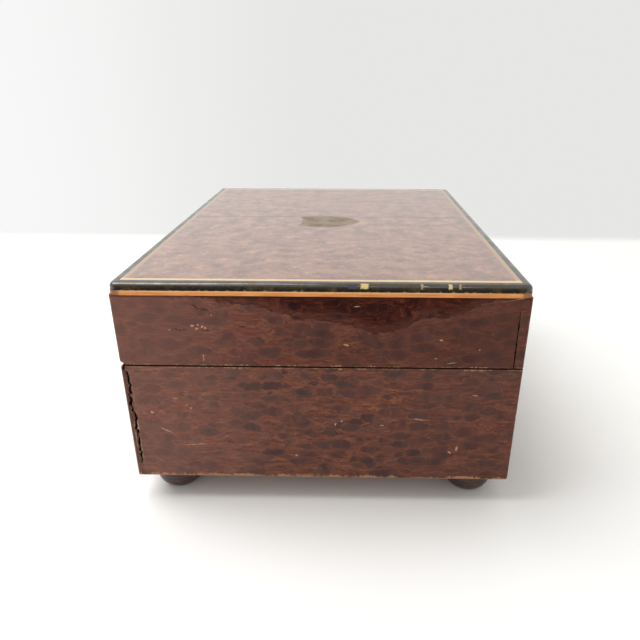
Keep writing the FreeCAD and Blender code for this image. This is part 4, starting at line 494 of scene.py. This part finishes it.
def burl_top_painted_lighter():
    s = Shade("burl_top_painted_lighter")
    u, v, face, _, flat = face_axes(s)
    tone, eye, streaks, fibres, _ = burl_figure(s, u, v, face, 0.8, 0.66)
    # Painted light: the top is lightened all over, partly a pale bloom in the old varnish, partly standing
    # for the stronger light that falls on the top
    bloom_and_painted_light = s.noise(s.join(s.times(s.x, 0.14), s.times(s.y, 0.1), 2.0), 1.0, 4.0, 0.6)
    tone = s.blend(s.between(s.smooth(bloom_and_painted_light, 0.35, 0.65), 0.2, 0.55), tone, srgb(178, 132, 108))
    drifts = s.noise(s.join(s.times(s.x, 0.24), s.times(s.y, 0.2), 4.0), 1.0, 6.0, 0.72)
    tone = s.blend(s.times(s.smooth(drifts, 0.5, 0.34), 0.42), tone, srgb(66, 36, 30))
    tone = s.blend(s.times(s.smooth(drifts, 0.52, 0.68), 0.42), tone, srgb(206, 156, 128))
    grit = s.noise(s.place, 1.1, 4.0, 0.65)
    fine_grit = s.noise(s.place, 5.0, 2.0, 0.6)

    # The joint of the two veneer leaves, a little way behind the shield
    drift = s.times(s.minus(s.noise(s.join(0.0, s.times(s.y, 0.08), 0.0), 1.0, 3.0), 0.5), 1.2)
    joint = s.near(s.add(s.x, drift), LEAF_JOINT_X, 0.6, 0.2)
    tone = s.blend(s.times(joint, 0.85), tone, srgb(58, 34, 30))
    pits = s.times(s.smooth(s.noise(s.place, 0.8, 5.0, 0.75), 0.66, 0.72), flat)
    tone = s.blend(s.times(pits, 0.75), tone, srgb(48, 30, 27))
    tone = s.blend(s.times(flakes(s, fine_grit), 0.5), tone, srgb(196, 156, 122))

    under = s.under(s.z, TOP_Z - 1.0)
    inner, _ = plain_grain(s, s.x, s.y, *INNER_WOOD)
    tone = s.blend(under, tone, inner)
    rough = s.add(0.36, s.times(s.minus(streaks, 0.5), 0.16))
    rough = s.add(rough, s.add(s.times(under, 0.3), s.times(s.minus(grit, 0.5), 0.1)))
    lost = s.times(s.most(pits, joint), -0.8)
    normal = burl_skin(s, (eye, streaks, fibres), lost, (0.2, 0.4), (0.22, 0.05))
    s.set(Base_Color=tone, Roughness=rough, Normal=normal, IOR=1.5, Coat_Weight=s.rest(under), **VARNISH)
    return s.material


def plain_wood():
    s = Shade("plain_wood")
    light, middle, dark = srgb(164, 118, 82), srgb(138, 94, 62), srgb(98, 62, 42)
    tone, pores = plain_grain(s, s.x, s.add(s.y, s.z), light, middle, dark)
    grit = s.noise(s.place, 0.8, 5.0, 0.65)
    worn = s.smooth(grit, 0.57, 0.66)
    tone = s.blend(worn, tone, srgb(120, 84, 60))
    rough = s.add(0.62, s.times(s.minus(grit, 0.5), 0.2))
    rough = s.add(rough, s.times(worn, 0.15))
    normal = s.bump(s.add(pores, grit), 0.3, 0.08)
    s.set(Base_Color=tone, Roughness=rough, Normal=normal, IOR=1.48)
    return s.material


def turned_wood():
    s = Shade("turned_wood")
    lathe = s.noise(s.times(s.z, 1.6), 1.0, 3.0)
    grit = s.noise(s.place, 1.3, 5.0, 0.7)
    tone = s.ramp(lathe, (0.3, srgb(30, 16, 11)), (0.6, srgb(62, 36, 26)), (0.8, srgb(92, 58, 42)))
    worn = s.smooth(s.add(grit, s.times(s.minus(lathe, 0.5), 0.3)), 0.54, 0.7)
    tone = s.blend(s.times(worn, 0.7), tone, srgb(132, 96, 76))
    rough = s.add(0.3, s.times(worn, 0.35))
    s.set(Base_Color=tone, Roughness=rough, Normal=s.bump(s.add(lathe, grit), 0.4, 0.15), IOR=1.5)
    return s.material


# Chips of the black moulding on the seen end: place across, half length, tone
MOULDING_CHIPS = (
    (-9.2, 1.5, srgb(72, 64, 76)), (-12.4, 1.1, srgb(208, 184, 122)),
    (-28.1, 0.34, srgb(166, 146, 104)), (-35.9, 0.5, srgb(200, 182, 136)),
    (-38.6, 0.3, srgb(166, 144, 100)),
)
CHIP_Z = TOP_Z - 0.55
CHIP_HALF_HEIGHT = 0.62


def ebonised_wood():
    s = Shade("ebonised_wood")
    grit = s.noise(s.place, 1.4, 5.0, 0.65)
    fine = s.noise(s.place, 6.0, 2.0, 0.6)
    cloud = s.noise(s.place, 0.22, 4.0, 0.6)
    tone = s.ramp(grit, (0.35, srgb(24, 19, 10)), (0.65, srgb(56, 45, 25)))
    tone = s.blend(s.times(s.smooth(cloud, 0.44, 0.7), 0.6), tone, srgb(84, 67, 39))
    ragged = s.times(s.minus(fine, 0.5), 1.2)
    _, shaken_y, shaken_z = shaken(s)
    chipped = 0.0
    for y, half_long, bare in MOULDING_CHIPS:
        off_y = s.math("DIVIDE", s.size(s.minus(shaken_y, y)), half_long)
        off_z = s.math("DIVIDE", s.size(s.minus(shaken_z, CHIP_Z)), CHIP_HALF_HEIGHT)
        mark = s.smooth(s.add(s.most(off_y, off_z), ragged), 1.1, 0.8)
        mark = s.times(mark, s.under(s.x, -HALF_L + 1.2))
        tone = s.blend(mark, tone, bare)
        chipped = s.most(chipped, mark)
    specks = s.times(s.smooth(fine, 0.7, 0.76), s.smooth(cloud, 0.5, 0.62))
    tone = s.blend(s.times(specks, 0.8), tone, srgb(168, 150, 116))
    low = s.minus(s.z, MOULDING_Z)
    reach = s.times(s.smooth(s.noise(s.place, 0.5, 4.0, 0.7), 0.46, 0.7), 0.55)
    frayed = s.smooth(s.minus(low, reach), 0.08, -0.08)
    groove = s.times(s.smooth(low, 0.95, 0.75), s.smooth(cloud, 0.66, 0.5))
    tone = s.blend(s.times(groove, 0.8), tone, srgb(14, 9, 5))
    tone = s.blend(s.times(frayed, 0.75), tone, srgb(142, 122, 98))
    rough = s.add(0.08, s.add(s.times(cloud, 0.14), s.times(s.most(chipped, frayed), 0.4)))
    dents = s.add(s.times(cloud, 1.6), s.add(s.times(grit, 0.35), s.times(chipped, -0.6)))
    s.set(Base_Color=tone, Roughness=rough, Normal=s.bump(dents, 0.35, 0.25), IOR=1.5)
    long_side = s.over(s.size(s.y), HALF_W - 2.2)
    from_z = s.between(long_side, TOP_Z - 1.0, TOP_Z - 2.0)
    polished = s.smooth(s.z, from_z, s.add(from_z, 0.5))
    polished = s.times(polished, s.between(s.smooth(cloud, 0.35, 0.6), 1.0, 0.6))
    s.set(Coat_Weight=s.times(polished, s.rest(chipped)), Coat_Roughness=0.14, Coat_IOR=1.8)
    s.set(Specular_IOR_Level=0.15)
    return s.material


def boxwood():
    s = Shade("boxwood")
    up = s.smooth(s.nz, 0.5, 0.8)
    near_end = s.over(s.size(s.x), HALF_L - 4.5)
    u = s.between(near_end, s.x, s.y)
    width = s.between(near_end, s.y, s.x)
    across = s.between(up, s.z, width)
    fibres = s.noise(s.join(s.times(u, 0.12), s.times(across, 2.4), 0.0), 1.0, 4.0, 0.6)
    patches = s.noise(s.place, 0.12, 3.0)
    side_tones = (0.3, srgb(195, 118, 57)), (0.55, srgb(223, 145, 78)), (0.75, srgb(237, 170, 101))
    tone = s.ramp(fibres, *side_tones)
    tone = s.blend(s.times(s.smooth(patches, 0.5, 0.75), 0.5), tone, srgb(206, 122, 61))
    end_tone = s.ramp(fibres, (0.3, srgb(198, 160, 102)), (0.7, srgb(232, 198, 140)))
    long_tone = s.ramp(fibres, (0.3, srgb(150, 116, 84)), (0.7, srgb(180, 146, 110)))
    tone = s.blend(up, tone, s.blend(near_end, long_tone, end_tone))
    dirt = s.smooth(s.noise(s.place, 0.9, 5.0, 0.7), 0.6, 0.72)
    tone = s.blend(s.times(dirt, 0.45), tone, srgb(126, 76, 46))
    corner_x = s.smooth(s.size(s.x), HALF_L - 3.6, HALF_L - 2.6)
    corner_y = s.smooth(s.size(s.y), HALF_W - 3.6, HALF_W - 2.6)
    rubbed = s.times(s.times(corner_x, corner_y), s.under(s.z, MOULDING_Z + 0.1))
    tone = s.blend(s.times(rubbed, 0.75), tone, srgb(118, 78, 55))
    rough = s.add(0.38, s.times(dirt, 0.2))
    s.set(Base_Color=tone, Roughness=rough, Normal=s.bump(fibres, 0.25, 0.05), IOR=1.5)
    s.set(Coat_Weight=up, Specular_IOR_Level=0.35, **VARNISH)
    return s.material


def metal(name, bright, dull, roughness, spread, stretch=(1.0, 1.0, 1.0), stain=None):
    """Worked metal: stretch draws its fine lines out along one way."""
    s = Shade(name)
    lines = s.noise(s.vector("MULTIPLY", s.place, stretch), 2.5, 3.0, 0.6)
    cloud = s.noise(s.place, 0.16, 4.0, 0.6)
    specks = s.noise(s.place, 1.6, 4.0, 0.7)
    tone = s.blend(s.smooth(cloud, 0.36, 0.68), bright, dull)
    tone = s.blend(s.times(s.smooth(lines, 0.4, 0.75), 0.3), tone, dull)
    rough = s.add(roughness, s.times(s.minus(lines, 0.5), spread))
    rough = s.add(rough, s.times(s.smooth(cloud, 0.4, 0.7), spread * 0.5))
    if stain is not None:
        spot = s.smooth(specks, 0.62, 0.74)
        tone = s.blend(s.times(spot, 0.6), tone, stain)
        rough = s.add(rough, s.times(spot, 0.2))
    normal = s.bump(s.add(lines, s.times(specks, 0.5)), 0.18, 0.03)
    s.set(Base_Color=tone, Roughness=rough, Metallic=1.0, Normal=normal)
    return s.material


CARD_ROW_STEP = 7.0


def card():
    s = Shade("card")
    fibre = s.noise(s.place, 3.0, 4.0, 0.65)
    age = s.noise(s.place, 0.05, 4.0, 0.6)
    tone = s.ramp(age, (0.3, srgb(226, 206, 166)), (0.6, srgb(214, 190, 146)), (0.8, srgb(190, 158, 112)))
    tone = s.blend(s.times(s.smooth(fibre, 0.5, 0.75), 0.25), tone, srgb(168, 138, 98))
    inset = s.least(s.minus(CARD_HALF_L, s.size(s.x)), s.minus(CARD_HALF_W, s.size(s.y)))
    thick = s.near(inset, 5.0, 0.42, 0.32)
    thin = s.near(inset, 6.3, 0.16, 0.08)
    row_place = s.math("FRACT", s.math("DIVIDE", s.add(s.y, 60.0), CARD_ROW_STEP))
    rows = s.size(s.minus(row_place, 0.5))
    ruled = s.times(s.smooth(rows, 0.018, 0.009), s.over(inset, 12.0))
    foxing = s.smooth(s.noise(s.place, 0.35, 5.0, 0.7), 0.64, 0.74)
    ink = s.most(thick, thin, s.times(ruled, 0.6))
    ink = s.times(ink, s.between(fibre, 0.55, 1.0))
    tone = s.blend(s.times(ink, 0.8), tone, srgb(118, 50, 42))
    tone = s.blend(s.times(foxing, 0.4), tone, srgb(150, 104, 62))
    brown = s.smooth(inset, 2.5, 0.0)
    tone = s.blend(s.times(brown, 0.5), tone, srgb(150, 112, 72))
    s.set(Base_Color=tone, Roughness=s.add(0.8, s.times(fibre, 0.1)), Normal=s.bump(fibre, 0.2, 0.05))
    return s.material


def garnet():
    s = Shade("garnet")
    cloud = s.noise(s.place, 2.0, 3.0)
    tone = s.ramp(cloud, (0.3, srgb(120, 8, 18)), (0.7, srgb(190, 26, 38)))
    s.set(Base_Color=tone, Roughness=s.times(cloud, 0.15), IOR=1.76, Transmission_Weight=0.6)
    return s.material


MATERIALS = {
    "burl_veneer": burl_sides(),
    "burl_top_painted_lighter": burl_top_painted_lighter(),
    "plain_wood": plain_wood(),
    "turned_wood": turned_wood(),
    "ebonised_wood": ebonised_wood(),
    "boxwood": boxwood(),
    "nickel_silver": metal("nickel_silver", srgb(180, 161, 139), srgb(146, 126, 106), 0.38, 0.2,
                           (1.0, 0.1, 1.0), srgb(88, 74, 58)),
    "card": card(),
    "brass": metal("brass", srgb(214, 172, 96), srgb(184, 138, 70), 0.27, 0.18,
                   (0.15, 1.0, 1.0), srgb(132, 92, 48)),
    "steel": metal("steel", srgb(196, 197, 198), srgb(158, 158, 158), 0.24, 0.16,
                   (1.0, 0.12, 1.0), srgb(120, 104, 92)),
    "blued_steel": metal("blued_steel", srgb(48, 60, 108), srgb(38, 41, 70), 0.24, 0.14),
    "lead": metal("lead", srgb(128, 130, 134), srgb(98, 100, 104), 0.5, 0.2, stain=srgb(150, 150, 148)),
    "garnet": garnet(),
}
SLOTS = {part["node"]: part["material_slot"] for part in frame["record"]["subparts"]}
# The top board has the slot of the sides, with a look of its own, painted lighter than the sides as painted
# light from above
LOOKS = {**SLOTS, "lid_top_board": "burl_top_painted_lighter"}


def dress(obj, look):
    obj.data.materials.clear()
    obj.data.materials.append(MATERIALS[look])


for name, obj in NODES.items():
    dress(obj, LOOKS[name])


# Pieces cut or made anew

WELD = 0.002
SHARP_ANGLE = math.radians(32)
CRACK_STEP = 0.9
ARC_STEPS = 8


def link(name, data):
    obj = bpy.data.objects.new(name, data)
    bpy.context.scene.collection.objects.link(obj)
    return obj


def fit_normals(obj):
    shape = bmesh.new()
    shape.from_mesh(obj.data)
    bmesh.ops.recalc_face_normals(shape, faces=shape.faces)
    shape.to_mesh(obj.data)
    shape.free()
    return obj


def solid(name, verts, faces):
    mesh = bpy.data.meshes.new(name)
    mesh.from_pydata(verts, [], faces)
    return fit_normals(link(name, mesh))


def solid_from(name, shape):
    mesh = bpy.data.meshes.new(name)
    shape.to_mesh(mesh)
    shape.free()
    return fit_normals(link(name, mesh))


def walls(low, high):
    """The side faces between two rings of corners."""
    return list(zip(low, low[1:] + low[:1], high[1:] + high[:1], high))


def stand_for(obj, node, body):
    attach(obj, body)
    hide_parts(node)
    dress(obj, LOOKS[node])


def cut_copy(node, name, body, cutter):
    """The CAD piece with the cutter taken out of it."""
    obj = link(name, NODES[node].data.copy())
    shape = bmesh.new()
    shape.from_mesh(obj.data)
    bmesh.ops.remove_doubles(shape, verts=shape.verts, dist=WELD * MM)
    shape.to_mesh(obj.data)
    shape.free()
    step = obj.modifiers.new("cut", "BOOLEAN")
    step.operation = "DIFFERENCE"
    step.solver = "EXACT"
    step.use_self = True
    step.object = cutter
    cut = obj.evaluated_get(bpy.context.evaluated_depsgraph_get())
    mesh = bpy.data.meshes.new_from_object(cut)
    obj.modifiers.clear()
    mesh.shade_smooth()
    mesh.set_sharp_from_angle(angle=SHARP_ANGLE)
    obj.data = mesh
    bpy.data.objects.remove(cutter)
    stand_for(obj, node, body)


def crack_cutter(points, depth, shake, rng):
    """A ragged wedge along a line on the seen end. points: place across, height, half width."""
    line = []
    for (y0, z0, w0), (y1, z1, w1) in zip(points, points[1:]):
        steps = max(1, round(abs(z1 - z0) / CRACK_STEP))
        for k in range(steps):
            t = k / steps
            wide = (w0 + (w1 - w0) * t) * rng.uniform(0.6, 1.4)
            line.append((y0 + (y1 - y0) * t + rng.uniform(-shake, shake), z0 + (z1 - z0) * t, wide))
    line.append(points[-1])
    verts = []
    for y, z, wide in line:
        for x, share in ((-HALF_L - 0.5, 1.3), (depth - HALF_L, 0.5)):
            verts.append((x * MM, (y + wide * share) * MM, z * MM))
            verts.append((x * MM, (y - wide * share) * MM, z * MM))
    faces = [(0, 1, 3, 2)]
    for a in range(0, len(verts) - 4, 4):
        b = a + 4
        faces += [(a, b, b + 1, a + 1), (a + 1, b + 1, b + 3, a + 3)]
        faces += [(a + 3, b + 3, b + 2, a + 2), (a + 2, b + 2, b, a)]
    last = len(verts) - 4
    faces.append((last, last + 2, last + 3, last + 1))
    return solid("crack", verts, faces)


def chip_cutter(chips, rng):
    """Ragged lumps where bits of the moulding are lost. chips: place, half sizes."""
    shape = bmesh.new()
    for place, sizes in chips:
        made = bmesh.ops.create_icosphere(shape, subdivisions=2, radius=1.0)["verts"]
        for vert in made:
            grow = rng.uniform(0.8, 1.2)
            vert.co = Vector([(c + v * h * grow) * MM for c, v, h in zip(place, vert.co, sizes)])
    return solid_from("chips", shape)


def corner_cutter(radius, low, high):
    """What lies outside the rounded upright corners of the lid between two heights."""
    shape = bmesh.new()
    centre_x, centre_y = HALF_L - radius, HALF_W - radius
    far_x, far_y = HALF_L + 1.0, HALF_W + 1.0
    arc = [math.pi / 2 * k / ARC_STEPS for k in range(ARC_STEPS + 1)]
    ring = [(centre_x + radius * math.cos(a), centre_y + radius * math.sin(a)) for a in arc]
    ring = [(far_x, centre_y)] + ring + [(centre_x, far_y), (far_x, far_y)]
    for sx, sy in ((1, 1), (-1, 1), (-1, -1), (1, -1)):
        rows = [[shape.verts.new((sx * x * MM, sy * y * MM, z * MM)) for x, y in ring] for z in (low, high)]
        for row in rows:
            for k in range(len(ring) - 2):
                shape.faces.new((row[-1], row[k], row[k + 1]))
        for corners in walls(*rows):
            shape.faces.new(corners)
    return solid_from("corners", shape)


# The crack down the rear corner of the base, and the open joint at the front corner of the lid
BASE_CRACK = (
    (57.9, RIM_Z + 0.6, 0.34), (57.3, 44.7, 0.4), (56.95, 39.2, 0.4), (57.6, 38.5, 0.36),
    (57.15, 32.9, 0.3), (57.0, 29.3, 0.34), (56.95, 22.3, 0.32), (57.0, 15.8, 0.36), (57.5, 13.5, 0.12),
)
LID_CRACK = ((-55.95, 67.6, 0.06), (-55.9, 62.0, 0.18), (-55.95, 55.0, 0.2), (-56.0, LID_Z - 0.4, 0.22))
# Chips along the moulding's front and back, besides those listed for the seen end
LONG_SIDE_CHIPS = 26
STRING_CORNER_ROUND = 2.4

rng = random.Random(19)
cut_copy("case_back", "case_back_cracked", "case", crack_cutter(BASE_CRACK, 2.0, 0.5, rng))
cut_copy("lid_left_rail", "lid_left_rail_open_joint", "lid", crack_cutter(LID_CRACK, 1.6, 0.03, rng))
lost = [((-HALF_L + 0.15, y, CHIP_Z + 0.35), (0.42, half, 0.42)) for y, half, _ in MOULDING_CHIPS]
for _ in range(LONG_SIDE_CHIPS):
    along = rng.uniform(-HALF_L + 6.0, HALF_L - 6.0)
    side = rng.choice((-1, 1))
    height = rng.uniform(0.1, 1.2)
    half_long = rng.uniform(0.2, 0.7)
    lost.append(((along, side * (HALF_W + 0.05), MOULDING_Z + height), (half_long, 0.22, 0.3)))
cut_copy("lid_edge_moulding", "lid_edge_moulding_chipped", "lid", chip_cutter(lost, rng))
rounding = corner_cutter(STRING_CORNER_ROUND, STRING_Z - 0.1, MOULDING_Z + 0.1)
cut_copy("lid_side_stringing", "lid_side_stringing_rubbed", "lid", rounding)

# A thin dark lip under the lid's front and end rails, a little set back, that closes the gap to the base;
# its dark wood is painted shade in the seam
LIP_SET_BACK, LIP_WIDTH = 1.6, 2.8
LIP_LOW, LIP_HIGH = RIM_Z + 0.06, LID_Z + 0.05
LIP_REAR_Y = HALF_W - 8.0


def lid_lip():
    out_x, out_y = HALF_L - LIP_SET_BACK, LIP_SET_BACK - HALF_W
    in_x, in_y = out_x - LIP_WIDTH, out_y + LIP_WIDTH
    ring = [(out_x, LIP_REAR_Y), (out_x, out_y), (-out_x, out_y), (-out_x, LIP_REAR_Y),
            (-in_x, LIP_REAR_Y), (-in_x, in_y), (in_x, in_y), (in_x, LIP_REAR_Y)]
    count = len(ring)
    verts = [(x * MM, y * MM, z * MM) for z in (LIP_LOW, LIP_HIGH) for x, y in ring]
    faces = walls(list(range(count)), list(range(count, 2 * count)))
    for quad in ((0, 1, 6, 7), (1, 2, 5, 6), (2, 3, 4, 5)):
        faces += [quad, tuple(count + k for k in reversed(quad))]
    obj = solid("lid_seam_shade_lip", verts, faces)
    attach(obj, "lid")
    # Dark turned wood, as painted shade in the seam
    dress(obj, "turned_wood")


lid_lip()

# The cylinder's pins: two tunes side by side on each tooth's track
CYLINDER_Y, CYLINDER_Z = 8.0, 38.6
TRACK_START, TRACK_STEP, TRACKS = -26.0, 1.25, 48
TUNE_SHIFT, PINS_PER_TUNE = 0.6, 20
PIN_FOOT, PIN_TIP, PIN_RADIUS, PIN_SIDES = 11.2, 12.45, 0.16, 5


def add_pin(verts, faces, x, angle):
    """One pin, at a place along the cylinder and an angle round it."""
    out = Vector((0.0, math.cos(angle), math.sin(angle)))
    side = Vector((0.0, -out.z, out.y))
    foot = [len(verts) + k for k in range(PIN_SIDES)]
    tip = [corner + PIN_SIDES for corner in foot]
    for reach in (PIN_FOOT, PIN_TIP):
        for k in range(PIN_SIDES):
            a = 2 * math.pi * k / PIN_SIDES
            round_pin = Vector((math.cos(a) * PIN_RADIUS, 0.0, 0.0)) + side * (math.sin(a) * PIN_RADIUS)
            verts.append((Vector((x, CYLINDER_Y, CYLINDER_Z)) + out * reach + round_pin) * MM)
    faces += [foot[::-1], tip]
    faces += walls(foot, tip)


def pins():
    verts, faces = [], []
    for track in range(TRACKS):
        for shift in (0.0, TUNE_SHIFT):
            x = TRACK_START + TRACK_STEP * track + shift
            for index in range(PINS_PER_TUNE):
                angle = 2 * math.pi * (index + rng.uniform(-0.45, 0.45)) / PINS_PER_TUNE
                add_pin(verts, faces, x, angle)
    stand_for(solid("cylinder_pins_two_tunes", verts, faces), "cylinder_pins", "cylinder")


pins()


# The stage: floor and wall in one sweep, lamp, sky and camera. Lengths here are in metres

FLOOR_Z = -0.0001
WALL_X, COVE, COVE_STEPS = 0.244, 0.009, 12
FLOOR_NEAR_X, WALL_TOP_Z, STAGE_HALF_W = -1.6, 1.3, 1.6
# The rays that show the wall and the sky in their plain tones. The others only take light from them
SHOWING_RAYS = ("Is Camera Ray", "Is Glossy Ray", "Is Transmission Ray")


def backdrop():
    """Floor and wall. Seen straight, the wall is a pale tone with painted light, lighter towards the lamp's
    side. From behind it isn't there.
    """
    line = [(FLOOR_NEAR_X, FLOOR_Z), (WALL_X - COVE, FLOOR_Z)]
    for k in range(1, COVE_STEPS + 1):
        a = math.pi / 2 * k / COVE_STEPS
        line.append((WALL_X - COVE + COVE * math.sin(a), COVE - COVE * math.cos(a) + FLOOR_Z))
    line.append((WALL_X, WALL_TOP_Z))
    verts = [(x, y, z) for x, z in line for y in (-STAGE_HALF_W, STAGE_HALF_W)]
    faces = [(2 * i, 2 * i + 2, 2 * i + 3, 2 * i + 1) for i in range(len(line) - 1)]
    mesh = bpy.data.meshes.new("backdrop")
    mesh.from_pydata(verts, [], faces)
    mesh.shade_smooth()
    obj = link("backdrop", mesh)

    s = Shade("backdrop")
    tone = s.ramp(s.noise(s.place, 0.01, 2.0), (0.3, srgb(243, 243, 241)), (0.7, srgb(246, 246, 245)))
    s.set(Base_Color=tone, Roughness=0.8, Specular_IOR_Level=0.1)
    glow = s.tree.nodes.new("ShaderNodeEmission")
    # Painted light on the wall: lighter towards the lamp's side
    wall_painted_light = s.blend(s.smooth(s.y, 0.0, 280.0), srgb(231, 231, 229), srgb(247, 248, 247))
    s.put(glow.inputs[0], s.blend(s.smooth(s.size(s.y), 350.0, 1400.0), wall_painted_light, srgb(243, 243, 243)))
    path = s.tree.nodes.new("ShaderNodeLightPath").outputs
    shown = s.most(*[path[kind] for kind in SHOWING_RAYS])
    upright = s.join_shaders(s.times(shown, s.smooth(s.z, 0.0, 6.0)), s.shader, glow)
    behind = s.tree.nodes.new("ShaderNodeNewGeometry").outputs["Backfacing"]
    clear = s.tree.nodes.new("ShaderNodeBsdfTransparent")
    s.tree.links.new(s.join_shaders(behind, upright, clear).outputs[0], s.out.inputs[0])
    mesh.materials.append(s.material)


def lamp(name, place, aim, size, power):
    data = bpy.data.lights.new(name, "AREA")
    data.shape = "DISK"
    data.size = size
    data.energy = power
    obj = link(name, data)
    obj.location = place
    obj.rotation_euler = (Vector(aim) - Vector(place)).to_track_quat("-Z", "Y").to_euler()


def sky(strength, seen):
    """A plain sky: its light has one strength, what is seen of it has another."""
    world = bpy.data.worlds.new("sky")
    bpy.context.scene.world = world
    world.use_nodes = True
    tree = world.node_tree
    tree.nodes.clear()
    mix = tree.nodes.new("ShaderNodeMixShader")
    tones = ((srgb(255, 253, 250), strength), (srgb(255, 255, 254), seen))
    for socket, (tone, power) in zip(mix.inputs[1:], tones):
        light = tree.nodes.new("ShaderNodeBackground")
        light.inputs[0].default_value = tone
        light.inputs[1].default_value = power
        tree.links.new(light.outputs[0], socket)
    path = tree.nodes.new("ShaderNodeLightPath").outputs
    shown = path[SHOWING_RAYS[0]]
    for kind in SHOWING_RAYS[1:]:
        either = tree.nodes.new("ShaderNodeMath")
        either.operation = "MAXIMUM"
        tree.links.new(shown, either.inputs[0])
        tree.links.new(path[kind], either.inputs[1])
        shown = either.outputs[0]
    tree.links.new(shown, mix.inputs[0])
    out = tree.nodes.new("ShaderNodeOutputWorld")
    tree.links.new(mix.outputs[0], out.inputs[0])


# The camera, fitted to the corners of the box in the photo. Angles are in degrees
CAMERA_PLACE = (-0.215482, -0.007948, 0.125435)
CAMERA_YAW, CAMERA_PITCH, CAMERA_ROLL = 0.9757, 22.608, 0.1208
CAMERA_SHIFT_X, CAMERA_SHIFT_Y = -0.0307, -0.01438
FOCAL_PIXELS, PHOTO_PIXELS = 549.42, 640.0
SENSOR = 36.0


def camera():
    yaw, pitch, roll = math.radians(CAMERA_YAW), math.radians(CAMERA_PITCH), math.radians(CAMERA_ROLL)
    ahead = Vector((math.cos(yaw) * math.cos(pitch), math.sin(yaw) * math.cos(pitch), -math.sin(pitch)))
    level = ahead.cross(Vector((0, 0, 1))).normalized()
    over = level.cross(ahead)
    right = math.cos(roll) * level + math.sin(roll) * over
    up = math.cos(roll) * over - math.sin(roll) * level
    data = bpy.data.cameras.new("camera")
    data.sensor_width = SENSOR
    data.lens = FOCAL_PIXELS / PHOTO_PIXELS * SENSOR
    data.shift_x, data.shift_y = CAMERA_SHIFT_X, CAMERA_SHIFT_Y
    data.clip_start = 0.01
    obj = link("camera", data)
    turn = Matrix((right, up, -ahead)).transposed().to_4x4()
    obj.matrix_world = Matrix.Translation(CAMERA_PLACE) @ turn
    bpy.context.scene.camera = obj


backdrop()
lamp("window", place=(0.10, 0.42, 0.80), aim=(0.0, 0.0, 0.04), size=0.85, power=8.8)
sky(strength=0.68, seen=0.9)
camera()
bpy.context.scene.view_settings.view_transform = "Standard"
